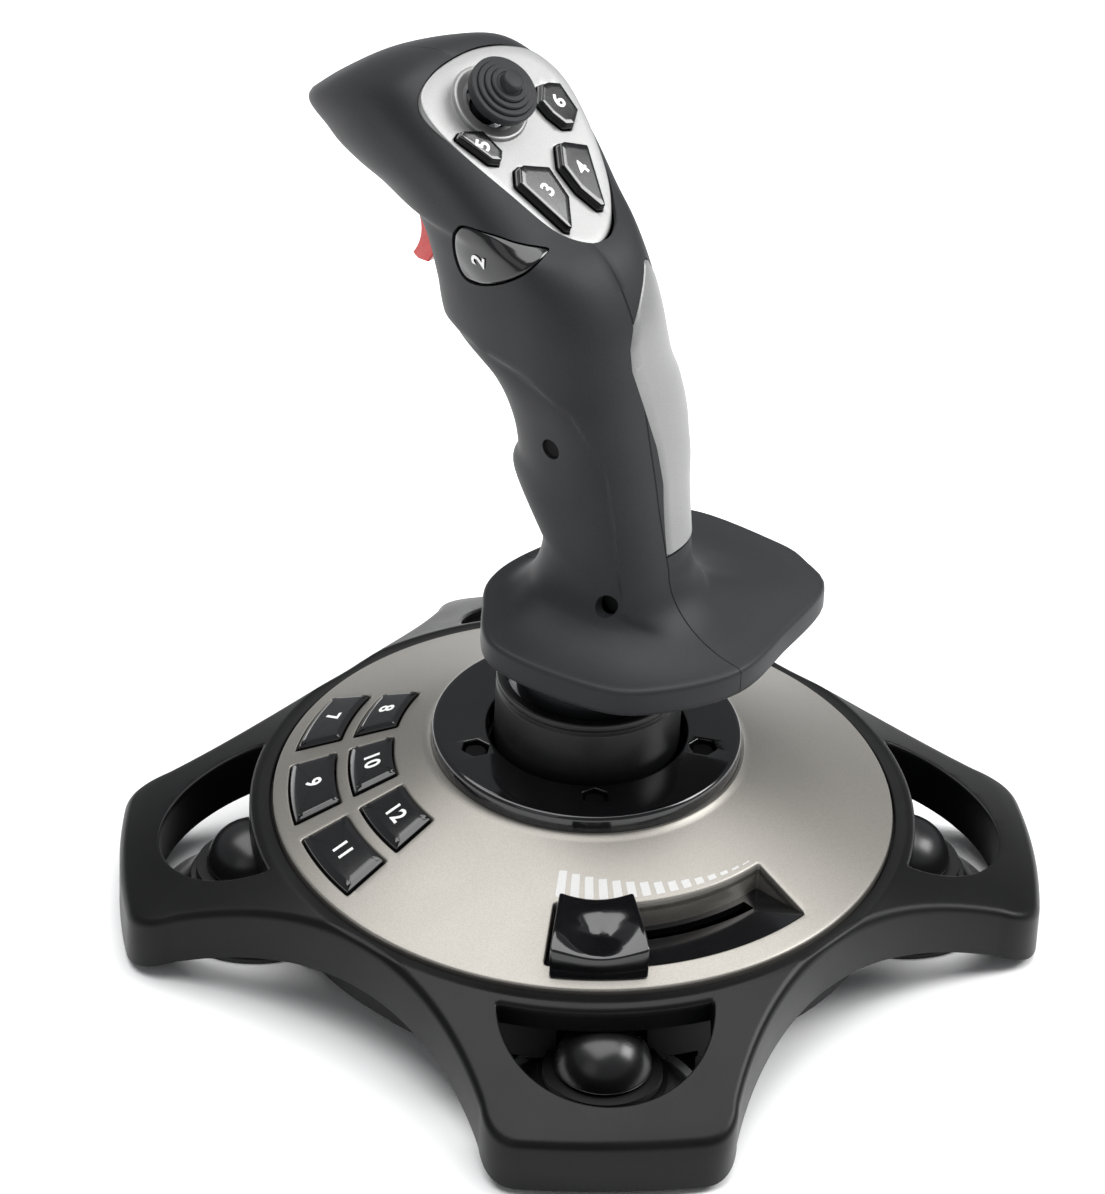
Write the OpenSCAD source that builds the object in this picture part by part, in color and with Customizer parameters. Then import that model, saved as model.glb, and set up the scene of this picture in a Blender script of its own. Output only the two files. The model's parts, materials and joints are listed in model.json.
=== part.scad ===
// Desktop flight stick: a four-armed base on suction cups, a tilting and twisting grip,
// a sliding throttle and twelve controls.  +Y is forward, +X is the user's right, +Z is up.
// The origin is the middle of the base at desk level.

/* [Base] */
// Height of the silver cover's rim above the desk
cover_z = 34; // [32:0.5:36]
// Radius of the silver cover's rim
cover_r = 80; // [79:0.5:80.5]
// Rise of the cover's cone from its rim to the collar ring
cover_rise = 18.4; // [18:0.1:19]
// Radius of the collar ring at its foot
ring_r = 40; // [39:0.5:41]
// Distance from the middle to the end of an arm
arm_len = 117; // [112:0.5:118]
// Half the width of an arm at its end
arm_half = 31; // [28:0.5:32]
// Radius of the chassis at its waist between two arms
waist_r = 84.3; // [84:0.1:86]
// Height of the chassis side wall
wall_h = 14.6; // [13:0.1:16]
// Fall of the arm's top for each millimetre outwards
arm_slope = 0.474; // [0.45:0.01:0.49]
// Thickness of the chassis and cover walls
wall = 2.4; // [2:0.1:2.6]

/* [Arm handles and cups] */
// Radius of the round side of a handle opening
loop_r = 27; // [25:0.5:28]
// Distance from the middle to the centre of a handle opening
loop_u = 82; // [81:0.5:83]
// Radius of the straight-looking inner side of a handle opening
loop_in = 86; // [85.5:0.5:88]
// Distance from the middle to a suction cup
cup_u = 84.5; // [84:0.5:85]
// Radius of a suction cup where it meets the desk
cup_r = 25; // [23:0.5:25.5]
// Radius of a suction cup's round head
cup_head_r = 12.3; // [11:0.1:12.4]

/* [Base buttons] */
// Angle covered by one base button
key_span = 19.4; // [18:0.1:20]
// Angle from one column of base buttons to the next
key_pitch = 24.4; // [23:0.1:25]
// Direction of the middle column of base buttons
key_dir = 135.6; // [130:0.1:140]
// Travel of every push button
key_travel = 1; // [0.6:0.1:1]

/* [Throttle] */
// Inner radius of the throttle slot
slot_r0 = 58.4; // [58:0.1:59]
// Outer radius of the throttle slot
slot_r1 = 74.3; // [74:0.1:75]
// Direction of the slot's closed-throttle end
slot_a0 = -146.5; // [-148:0.5:-145]
// Direction of the slot's open-throttle end
slot_a1 = -90.3; // [-92:0.1:-90]
// Half the angle covered by the throttle knob
knob_half = 9.2; // [8:0.1:9.5]
// Height of the throttle knob's top above the desk
knob_top = 47.5; // [46:0.5:49]

/* [Stick] */
// Height of the stick's pivot above the desk
pivot_z = 57; // [57:0.1:57.2]
// Radius of the rubber boot
boot_r = 23.8; // [23:0.1:23.8]
// Height of the boot's lip above the desk
boot_top = 74; // [73:0.5:74.5]
// Radius of the grip's neck
neck_r = 18.5; // [18:0.1:19]
// Radius of the tube that carries the grip
shaft_r = 5.5; // [5:0.1:5.6]

/* [Grip] */
// Thickness of the grip shells
shell = 2.4; // [2:0.1:2.6]
// Steepness of the thumb plate, in degrees from level
plate_tilt = 37.5; // [37:0.1:38]
// Thickness of the thumb plate
plate_t = 2; // [1.8:0.1:2]
// Height of the thumb buttons above the plate
cap_h = 2.5; // [2:0.1:3]
// Radius of the hat's cap
hat_r = 9.1; // [8.5:0.1:9.3]
// Width of the trigger
trigger_w = 9; // [8:0.5:9.5]

/* [Hidden] */
$fn = 96;
gap = 0.3;
run = 0.05;
rim_r = 84;
arm_side_r = 108.3;
arm_side_c = waist_r + arm_side_r;
boss_dirs = [20, 70, -75, 190];
boss_pos = 62;
boss_r = 3.5;
screw_r = 1.5;
lug_z = 10.7;
liner_t = 2.2;
bridge_z = 25.7;
lug_t = 2.6;
ring_z = cover_z + cover_rise;
ring_top = ring_z + 4.6;
hex_dirs = [for (k = [0:4]) -63 + 72 * k];
hex_pos = 30.5;
slot_floor = 36.2;
bowl_r = 27.2;
bowl_z = 28;
post_in = 11.5;
post_out = 15;
fork_in = 10.3;
fork_out = 13.3;
hub_z = 66.5;
seat_z = 50;
plate_at = [0, 8.8, 196.6];
hat_at = [1, 42];
hat_pivot_d = -4;
trigger_axis = [44.5, 187];
inlet_z = 24.3;
inlet_y = waist_r - 4.2;

// Heights of the silver cone and of the arms at radius r
function cone_z(r) = cover_z + cover_rise * (cover_r - r) / (cover_r - ring_r);
function arm_z(r) = cover_z - 1 - arm_slope * (r - rim_r);
function dir(a) = [cos(a), sin(a)];
function turn(p, a) = [p[0] * cos(a) - p[1] * sin(a), p[0] * sin(a) + p[1] * cos(a)];
function bezier(a, b, c, t) = (1 - t) * (1 - t) * a + 2 * t * (1 - t) * b + t * t * c;
function spline(a, b, c, d, t) = 0.5 * (2 * b + (c - a) * t + (2 * a - 5 * b + 4 * c - d) * t * t
    + (3 * b - a - 3 * c + d) * t * t * t);
function closed_curve(pts, steps) = let (n = len(pts)) [for (i = [0:n - 1]) for (s = [0:steps - 1])
    spline(pts[(i + n - 1) % n], pts[i], pts[(i + 1) % n], pts[(i + 2) % n], s / steps)];

// One half of an arm's outline, from the waist to the middle of its end, in the arm's own frame
function arm_edge(inset) = let (c = arm_side_c * dir(-45), r = arm_side_r + inset,
        corner = [arm_len - inset, inset - arm_half], a_end = 106,
        side = [for (a = [135:-4.8:a_end]) c + r * dir(a)],
        start = side[len(side) - 1], end = [arm_len + 0.9 - inset, -22])
    concat(side, [for (t = [0.25:0.25:1]) bezier(start, corner, end, t)],
        [for (v = [-14, -6]) [arm_len + 2.4 - pow(v / 18, 2) - inset, v]]);
function flipped(pts) = [for (i = [len(pts) - 1:-1:0]) [pts[i][0], -pts[i][1]]];
function base_outline(inset) = let (half = arm_edge(inset), arm = concat(half, flipped(half)))
    [for (k = [0:3]) for (i = [0:len(arm) - 2]) turn(arm[i], 45 + 90 * k)];

module at_arms() { for (k = [0:3]) rotate([0, 0, 45 + 90 * k]) children(); }
module at_polar(r, dirs) { for (a = dirs) rotate([0, 0, a]) translate([r, 0, 0]) children(); }
module sector(r0, r1, a0, a1, z0, z1) {
    rotate([0, 0, a0]) rotate_extrude(angle = a1 - a0) translate([r0, z0]) square([r1 - r0, z1 - z0]);
}
module tube(r0, r1, z0, z1) {
    translate([0, 0, z0]) difference() {
        cylinder(r = r1, h = z1 - z0);
        translate([0, 0, -1]) cylinder(r = r0, h = z1 - z0 + 2);
    }
}
module cone_band(r0, r1, lo, hi) {
    rotate_extrude() polygon([[r0, cone_z(r0) + lo], [r1, cone_z(r1) + lo], [r1, cone_z(r1) + hi],
        [r0, cone_z(r0) + hi]]);
}
module along_x(y, z) { translate([0, y, z]) rotate([0, 90, 0]) children(); }

// A coil spring: a round wire swept along a helix about the local z axis
module coil(r, wire, z0, z1, turns) {
    n = 6;
    steps = turns * 14;
    ring = [for (s = [0:steps]) let (a = 360 * turns * s / steps, z = z0 + (z1 - z0) * s / steps)
        [for (k = [0:n - 1]) let (w = 360 * k / n, q = r + wire * cos(w))
            [q * cos(a), q * sin(a), z + wire * sin(w)]]];
    faces = concat([[for (k = [0:n - 1]) k]], [[for (k = [n - 1:-1:0]) steps * n + k]],
        [for (s = [0:steps - 1]) for (k = [0:n - 1]) let (a = s * n + k, b = s * n + (k + 1) % n)
            [a, a + n, b + n, b]]);
    polyhedron([for (q = ring) for (p = q) p], faces);
}

// ---------------------------------------------------------------- base shells
module arm_band(inset, drop, depth) {
    intersection() {
        translate([0, 0, -5]) linear_extrude(60) polygon(base_outline(inset));
        rotate_extrude() polygon([[76, arm_z(rim_r) - drop], [rim_r, arm_z(rim_r) - drop],
            [150, arm_z(150) - drop], [150, arm_z(150) - drop - depth],
            [rim_r, arm_z(rim_r) - drop - depth], [76, arm_z(rim_r) - drop - depth]]);
    }
}
module handle_hole(grow, inner) {
    difference() {
        translate([loop_u, 0, -6]) cylinder(r = loop_r + grow, h = 60);
        translate([0, 0, -7]) cylinder(r = inner, h = 62);
    }
}
module chassis() {
    color([0.09, 0.09, 0.1]) difference() {
        arm_band(0, 0, wall_h);
        difference() {
            arm_band(wall, wall, 40);
            at_arms() handle_hole(liner_t, loop_in);
            at_arms() intersection() {
                handle_hole(liner_t, loop_in - liner_t);
                translate([0, 0, bridge_z]) cylinder(r = 150, h = 20);
            }
        }
        at_arms() handle_hole(0, loop_in);
        translate([0, 0, -1]) cylinder(r = cover_r - 2, h = 60);
        translate([0, 0, cover_z - 3]) cylinder(r = cover_r + 0.6, h = 10);
        translate([0, waist_r - 8, inlet_z]) rotate([-90, 0, 0]) cylinder(r = 4.2, h = 12);
    }
}
module bottom_plate() {
    color([0.07, 0.07, 0.08]) difference() {
        union() {
            difference() {
                rotate_extrude() polygon([[0, 2.5], [73, 2.5], [79, 9], [79, 24], [76.6, 24],
                    [76.6, 10], [72, 5], [0, 5]]);
                at_arms() translate([cup_u, 0, -1]) cylinder(r = cup_r + 1.5, h = lug_z + 1);
            }
            intersection() {
                at_arms() translate([cup_u, 0, 0]) tube(cup_r + 1.5, cup_r + 3.5, 2.5, lug_z + lug_t);
                cylinder(r = 78, h = 30);
            }
            intersection() {
                at_arms() translate([cup_u, 0, lug_z]) cylinder(r = cup_r + 2.5, h = lug_t);
                cylinder(r = 78, h = 30);
            }
            at_arms() translate([cup_u, 0, lug_z]) cylinder(r = 15, h = lug_t);
            for (x = [-24, 24]) for (y = [-18, 18]) translate([x, y, 4]) cylinder(r = 3, h = 5);
        }
        at_arms() translate([cup_u, 0, 0]) cylinder(r = 7.6, h = 20);
        at_arms() translate([cup_u, 0, lug_z + lug_t]) cylinder(r = cup_head_r + 0.7, h = 20);
        at_polar(boss_pos, boss_dirs) translate([0, 0, 1]) cylinder(r = screw_r + 0.2, h = 10);
        at_polar(boss_pos, boss_dirs) translate([0, 0, 1]) cylinder(r = 3.2, h = 2.5);
    }
}
module slot_sector(grow, z0, z1) {
    da = asin(grow / slot_r0);
    sector(slot_r0 - grow, slot_r1 + min(grow, 0.6), slot_a0 - da, slot_a1 + da, z0, z1);
}
module key_sector(column, row, grow, z0, z1) {
    r0 = (row == 0 ? 63.9 : 49.3) - grow;
    r1 = (row == 0 ? 75.9 : 60.7) + grow;
    a = key_dir + (column - 1) * key_pitch;
    da = key_span / 2 + grow / r0 * 57.3;
    sector(r0, r1, a - da, a + da, z0, z1);
}
module top_cover() {
    color([0.66, 0.64, 0.6]) difference() {
        union() {
            rotate_extrude() polygon([[27.6, ring_z - 2.2], [ring_r, ring_z - 2.2],
                [cover_r - 1.6, cover_z - wall], [cover_r - 1.6, cover_z - 2.9],
                [cover_r, cover_z - 2.9], [cover_r, cover_z], [ring_r, ring_z], [27.6, ring_z]]);
            intersection() {
                slot_sector(1.3, slot_floor + 0.1, 60);
                cone_band(50, 79, -12, -0.5);
            }
            at_polar(boss_pos, boss_dirs) translate([0, 0, 5.1])
                cylinder(r = boss_r, h = cone_z(boss_pos) - 7);
        }
        slot_sector(0, 20, 70);
        for (c = [0:2]) for (row = [0:1]) key_sector(c, row, 0, 20, 70);
        at_polar(boss_pos, boss_dirs) translate([0, 0, 4]) cylinder(r = screw_r, h = 14);
        at_polar(hex_pos, hex_dirs) translate([0, 0, 40]) cylinder(r = screw_r + 0.1, h = 20);
    }
}
module collar_ring() {
    color([0.05, 0.05, 0.055]) difference() {
        rotate_extrude() polygon([[25.6, ring_z], [ring_r, ring_z], [ring_r - 0.3, ring_z + 1.4],
            [ring_r - 1, ring_top - 0.8], [ring_r - 2, ring_top], [26.2, ring_top], [25.6, ring_top - 0.6]]);
        at_polar(hex_pos, hex_dirs) translate([0, 0, ring_top - 2.4]) cylinder(r = 3.8, h = 5, $fn = 6);
        at_polar(hex_pos, hex_dirs) translate([0, 0, ring_z - 1]) cylinder(r = screw_r + 0.1, h = 9);
    }
}
module collar_screws() {
    color("silver") at_polar(hex_pos, hex_dirs) {
        translate([0, 0, ring_top - 2.4]) cylinder(r = 2.6, h = 1.3);
        translate([0, 0, ring_z - 4.6]) cylinder(r = screw_r, h = 7);
    }
}
module bottom_screws() {
    color("silver") at_polar(boss_pos, boss_dirs) {
        translate([0, 0, 2.6]) cylinder(r = 2.9, h = 0.9);
        translate([0, 0, 3]) cylinder(r = screw_r, h = 13);
    }
}
module suction_cup(arm) {
    color([0.04, 0.04, 0.045]) rotate([0, 0, arm]) translate([cup_u, 0, 0]) rotate_extrude()
        polygon(concat([[0, 5.5], [8, 4.6], [16, 2.4], [cup_r - 3, 0], [cup_r, 0], [cup_r, 1.3],
            [21.5, 4.6], [18, 8.6], [16, lug_z - 0.1], [7.4, lug_z - 0.1],
            [7.4, lug_z + lug_t + 0.1], [cup_head_r - 1, lug_z + lug_t + 0.1]],
            [for (a = [4:8:86]) [cup_head_r * cos(a), 13.2 + (cup_head_r - 0.4) * sin(a)]],
            [[0, 13.2 + cup_head_r - 0.4]]));
}
module suction_cup_rear_left() { suction_cup(-135); }
module suction_cup_rear_right() { suction_cup(-45); }
module suction_cup_front_left() { suction_cup(135); }
module suction_cup_front_right() { suction_cup(45); }
module base_board() {
    color([0.1, 0.35, 0.2]) {
        translate([-30, -23, 9]) cube([60, 46, 1.6]);
        translate([-8, -8, 10.6]) cube([14, 14, 1.4]);
        translate([-6, 15, 10.6]) cube([16, 6, 5]);
    }
}
module cable_inlet() {
    color([0.06, 0.06, 0.065]) translate([0, inlet_y, inlet_z]) rotate([-90, 0, 0]) difference() {
        union() {
            cylinder(r = 4, h = 7);
            cylinder(r = 5, h = 1.6);
            translate([0, 0, 4.6]) cylinder(r = 5, h = 1.6);
        }
        translate([0, 0, -1]) cylinder(r = 2.6, h = 20);
    }
}

// ---------------------------------------------------------------- base buttons
module button_mat() {
    color([0.5, 0.5, 0.52]) intersection() {
        sector(47.5, 77.2, key_dir - 37, key_dir + 37, 10, 60);
        cone_band(40, 79, -7.6, -5.6);
    }
}
module base_button(column, row) {
    color([0.05, 0.05, 0.055]) {
        intersection() {
            key_sector(column, row, -0.45, 10, 70);
            cone_band(40, 79, -4.4, 1.2);
        }
        intersection() {
            key_sector(column, row, 0.7, 10, 70);
            cone_band(40, 79, -4.4, -3.4);
        }
    }
}
module button_7() { base_button(0, 0); }
module button_8() { base_button(0, 1); }
module button_9() { base_button(1, 0); }
module button_10() { base_button(1, 1); }
module button_11() { base_button(2, 0); }
module button_12() { base_button(2, 1); }

// ---------------------------------------------------------------- throttle
knob_dir = slot_a0 + knob_half + 1.2;
throttle_travel = slot_a1 - slot_a0 - 2 * knob_half - 2.4;
module throttle_tray() {
    color([0.05, 0.05, 0.055]) difference() {
        sector(56.6, slot_r1 - gap, slot_a0 + 0.3, slot_a1 - 0.3, slot_floor - 2, slot_floor);
        sector(60.2, 63.8, knob_dir - 4, knob_dir + throttle_travel + 4, slot_floor - 3, slot_floor + 1);
    }
}
module throttle_knob() {
    color([0.05, 0.05, 0.055]) {
        difference() {
            intersection() {
                sector(57.4, 78, knob_dir - knob_half, knob_dir + knob_half, 30, knob_top);
                cone_band(50, 79.5, 0.6, 20);
            }
            rotate([0, 0, knob_dir]) translate([69.5, 0, knob_top + 16]) sphere(r = 18.6);
        }
        sector(60.8, 63.2, knob_dir - 2.2, knob_dir + 2.2, 33, cone_z(62) + 1.4);
    }
}
module throttle_lever() {
    color([0.75, 0.75, 0.72]) union() {
        tube(bowl_r + 0.08, 31, 30, 33);
        rotate([0, 0, knob_dir]) translate([29, -3.5, 30]) cube([35.5, 7, 3]);
    }
}

// ---------------------------------------------------------------- tilting stick
module gimbal_frame() {
    color([0.2, 0.2, 0.22]) difference() {
        union() {
            tube(25, bowl_r, bowl_z, ring_z - 2.3);
            translate([0, 0, bowl_z]) cylinder(r = 26, h = 3);
            tube(26.8, 29.5, bowl_z - 0.8, 29.6);
            tube(26, 37, ring_z - 4.7, ring_z - 2.3);
            tube(16.9, 17.6, bowl_z + 2, seat_z);
            tube(16.9, 18.4, seat_z - 1.5, seat_z);
            for (s = [-1, 1]) translate([s * (post_in + post_out) / 2, 0, bowl_z + 2])
                translate([-(post_out - post_in) / 2, -3, 0]) cube([post_out - post_in, 6, 30.2]);
        }
        along_x(0, pivot_z) translate([0, 0, -20]) cylinder(r = 2 + run, h = 40);
        at_polar(hex_pos, hex_dirs) translate([0, 0, 40]) cylinder(r = screw_r, h = 20);
    }
}
module gimbal_yoke() {
    color([0.7, 0.7, 0.68]) difference() {
        translate([-post_in + gap, -fork_in + gap, pivot_z - 4])
            cube([2 * (post_in - gap), 2 * (fork_in - gap), 8]);
        along_x(0, pivot_z) translate([0, 0, -20]) cylinder(r = 2, h = 40);
        translate([0, -20, pivot_z]) rotate([-90, 0, 0]) cylinder(r = 2, h = 40);
    }
}
module pitch_pins() {
    color("silver") for (s = [0, 180]) rotate([0, 0, s]) along_x(0, pivot_z)
        translate([0, 0, 4]) cylinder(r = 2, h = post_out - 4);
}
module roll_pins() {
    color("silver") for (s = [90, 270]) rotate([0, 0, s]) along_x(0, pivot_z)
        translate([0, 0, 4]) cylinder(r = 2, h = fork_out - 4);
}
module centring_spring() {
    color("silver") coil(17.65, 0.7, seat_z + 0.75, hub_z - 0.75, 5);
}
module tilt_sensor() {
    color([0.1, 0.35, 0.2]) {
        translate([-7, -7, bowl_z + 3]) cube([14, 14, 1.2]);
        translate([-2, -2, bowl_z + 4.2]) cube([4, 4, 1]);
    }
}
module stick_shaft() {
    color([0.72, 0.72, 0.7]) difference() {
        union() {
            for (s = [-1, 1]) translate([-3, s > 0 ? fork_in : -fork_out, pivot_z - 9.5])
                cube([6, fork_out - fork_in, hub_z - pivot_z + 10]);
            translate([-3, -fork_out, pivot_z - 9.5]) cube([6, 2 * fork_out, 3]);
            translate([0, 0, hub_z]) cylinder(r = boot_r - 2.6, h = 2.6);
            translate([0, 0, hub_z + 2]) cylinder(r = shaft_r, h = 132 - hub_z);
        }
        translate([0, -20, pivot_z]) rotate([-90, 0, 0]) cylinder(r = 2 + run, h = 40);
        translate([0, 0, hub_z - 1]) cylinder(r = shaft_r - 2, h = 90);
        tube(shaft_r - 0.7, shaft_r + 2, 131.6, 132.8);
    }
}
module sensor_magnet() {
    color("silver") translate([0, 0, pivot_z - 12]) cylinder(r = 3, h = 2.5);
}
module boot() {
    lip = boot_top - 1.2;
    color([0.06, 0.06, 0.065]) translate([0, 0, pivot_z]) rotate_extrude() polygon(concat(
        [for (a = [-15:3:0]) boot_r * dir(a)],
        [for (a = [0:18:90]) [boot_r - 1.2, lip - pivot_z] + 1.2 * dir(a)],
        [for (a = [90:30:180]) [boot_r - 2.2, lip - pivot_z + 0.2] + 1 * dir(a)],
        [[boot_r - 3.2, hub_z + 2.8 - pivot_z], [boot_r - 2.5, hub_z + 2.6 - pivot_z], [boot_r - 2.5, 3]],
        [for (a = [0:-3:-15]) (boot_r - 1.9) * dir(a)]));
}

// ---------------------------------------------------------------- grip
// Each row is one cross-section of the grip, from the neck up and over to the tip of the nose:
// back y, back z, front y, front z, half-width left, half-width right, place of the widest point
// from back (0) to front (1), roundness of the back, roundness of the front (2 is an ellipse)
grip_rows = [
    [-23.5, 116, 13, 116, 16, 17, .48, 2.8, 2.6],
    [-19.5, 131, 24, 131.5, 16.5, 21, .45, 2.8, 2.6],
    [-17.5, 140, 22.5, 139.5, 17, 23, .45, 2.8, 2.6],
    [-15, 150, 25, 149, 17.5, 24, .45, 2.8, 2.6],
    [-12.8, 159.5, 31.5, 157.5, 18.5, 23, .42, 2.8, 2.6],
    [-11.2, 167, 46, 166, 19, 21.5, .40, 2.8, 2.6],
    [-8.2, 180, 50, 178.5, 20, 20, .38, 2.8, 2.6],
    [-2.5, 190.5, 54.5, 188.5, 20.5, 20, .36, 3, 2.4],
    [4, 197, 60.5, 194.5, 20.5, 21.5, .34, 3.2, 2.2],
    [13, 201.5, 66, 195.5, 21, 24.5, .32, 3.6, 2.1],
    [24, 210, 72, 196.5, 21.5, 27.5, .32, 4, 2],
    [34, 218, 78, 197.5, 22, 29.5, .34, 4, 2],
    [44, 225.5, 84, 199, 21.5, 29, .36, 3.6, 2],
    [53, 231, 89, 200.5, 19, 25, .40, 3, 2],
    [63, 230, 93.5, 201.5, 15.5, 19, .45, 2.4, 2],
    [76, 224, 96.8, 202.3, 11, 12, .50, 2.1, 2],
    [88.5, 214.5, 98.8, 203, 6, 6, .50, 2, 2],
    [99, 204.8, 99.8, 203.2, 1, 1, .50, 2, 2]];
guard_z = 90.4;
guard_top = 98.5;
flare_h = 17.5;
guard_pts = [[0, -48.4], [22, -45], [43.3, -39.8], [49.5, -29], [51, -18], [46.4, 8], [30, 18], [4.8, 24.2],
    [-11, 24.2], [-21.9, 18.2], [-35.4, 2.5], [-31.2, -27.1], [-20.3, -40.2]];
guard_mid = [0, -8];
half_n = 12;

function spow(v, e) = sign(v) * pow(abs(v), e);
function row_at(u) = let (i = min(floor(u), len(grip_rows) - 2), last = len(grip_rows) - 1)
    spline(grip_rows[max(0, i - 1)], grip_rows[i], grip_rows[i + 1], grip_rows[min(last, i + 2)], u - i);
// A point of the grip's section at row u and turn phi (-90 back, 0 right, 90 front, 180 left)
function grip_pt(u, phi, inset) = let (k = row_at(u), d = [k[2] - k[0], k[3] - k[1]], L = norm(d), e = d / L,
        c = cos(phi), s = sin(phi), n = s < 0 ? k[7] : k[8],
        thin = min(inset, 0.45 * min(k[4], k[5], k[6] * L, (1 - k[6]) * L)),
        a = (c >= 0 ? k[5] : k[4]) - thin, b = (s < 0 ? k[6] : 1 - k[6]) * L - thin,
        q = b * spow(s, 2 / n) + k[6] * L)
    [abs(c) < 1e-9 ? 0 : a * spow(c, 2 / n), k[0] + e[0] * q, k[1] + e[1] * q];
function cross2(a, b) = a[0] * b[1] - a[1] * b[0];
// Distance from the middle of the hand rest to its edge in direction phi
function guard_r(phi) = let (n = len(guard_pts), d = dir(phi))
    max([for (i = [0:n - 1]) let (a = guard_pts[i] - guard_mid, e = guard_pts[(i + 1) % n] - guard_pts[i],
        den = cross2(d, e), t = den == 0 ? 0 : cross2(a, e) / den, s = den == 0 ? -1 : cross2(a, d) / den)
        (t > 0 && s >= -1e-6 && s <= 1 + 1e-6) ? t : 0]);
function guard_pt(phi, inset, z) = let (p = guard_mid + (guard_r(phi) - inset) * dir(phi))
    [abs(cos(phi)) < 1e-9 ? 0 : p[0], p[1], z];
function neck_pt(phi, r, z) = [abs(cos(phi)) < 1e-9 ? 0 : r * cos(phi), r * sin(phi), z];
function flare_pt(s, phi, inset) = let (g = guard_pt(phi, inset + 1, guard_top - inset * (1 - s)),
        t = grip_pt(0, phi, inset), z = guard_top - inset * (1 - s)
            + (t[2] - guard_top + inset * (1 - s)) * (1 - sqrt(1 - s * s)))
    [g[0] + (t[0] - g[0]) * s, g[1] + (t[1] - g[1]) * s, z];
flares = [0.15, 0.4, 0.62, 0.8, 0.93];
grip_steps = [for (u = [0:0.5:17]) u];
level_n = 6 + len(flares) + len(grip_steps);
function level_pt(j, phi, inset) = let (f = j - 6, g = f - len(flares))
    j == 0 ? neck_pt(phi, neck_r - inset, 69.8) :
    j == 1 ? neck_pt(phi, neck_r - inset, guard_z - 0.8 + inset) :
    j == 2 ? guard_pt(phi, 1.2 + inset, guard_z + inset) :
    j == 3 ? guard_pt(phi, inset, guard_z + 1 + inset * 0.9) :
    j == 4 ? guard_pt(phi, inset, guard_top - 1 - inset * 0.9) :
    j == 5 ? guard_pt(phi, 0.6 + inset, guard_top - 0.2 - inset) :
    g < 0 ? flare_pt(flares[f], phi, inset) : grip_pt(grip_steps[g], phi, inset);
function side_phi(i, side) = -90 + side * 180 * i / half_n;
// The palm insert lies in a shallow step of the right shell
insert_j0 = 11;
insert_j1 = 26;
insert_i0 = 1;
insert_i1 = 5;
insert_d = 1.6;
function in_insert(i, j) = j >= insert_j0 && j <= insert_j1 && i >= insert_i0 && i <= insert_i1;
function shell_pt(i, j, side) = level_pt(j, side_phi(i, side), side > 0 && in_insert(i, j) ? insert_d : 0);
module half_shell(side) {
    m = 2 * (half_n + 1);
    pts = [for (j = [0:level_n - 1]) for (i = [0:m - 1])
        i <= half_n ? shell_pt(i, j, side) : level_pt(j, side_phi(m - 1 - i, side), shell)];
    walls = [for (j = [0:level_n - 2]) for (i = [0:m - 1]) let (a = j * m + i, b = j * m + (i + 1) % m)
        each [[a, b, b + m], [a, b + m, a + m]]];
    caps = [for (i = [0:half_n - 1]) for (j = [0, level_n - 1]) let (a = j * m + i, b = a + 1,
        c = j * m + m - 2 - i, d = c + 1) each j == 0 ? [[a, d, c], [a, c, b]] : [[a, c, d], [a, b, c]]];
    faces = concat(walls, caps);
    polyhedron(pts, side > 0 ? [for (f = faces) [f[2], f[1], f[0]]] : faces);
}
module on_plate() { translate(plate_at) rotate([plate_tilt, 0, 0]) children(); }
plate_pts = [[0, 56.2], [-9, 55], [-16, 51.3], [-18, 44], [-15.1, 31.6], [-11, 19.3], [-6.2, 6.5], [-1, 0],
    [4.5, -1.4], [9.5, 0.2], [14.2, 4.6], [19.6, 12.8], [24.3, 25.5], [26.4, 38.5],
    [23.6, 47.8], [17.6, 52.6], [9, 55.6]];
plate_mid = [3, 30];
function plate_outline(k) = [for (p = closed_curve(plate_pts, 2)) plate_mid + (p - plate_mid) * k];
side_key_pts = [[9, 194.5], [8.5, 198], [12, 200], [20, 199.8], [30, 197.5], [34.5, 194.5], [34, 191],
    [28, 188], [19, 187.6], [12, 189.5]];
side_key_mid = [21, 194];
module side_key(grow, x0, x1) {
    translate([x0, 0, 0]) rotate([90, 0, 90]) linear_extrude(x1 - x0)
        polygon([for (p = closed_curve(side_key_pts, 2)) let (d = p - side_key_mid) p + grow * d / norm(d)]);
}
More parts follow.
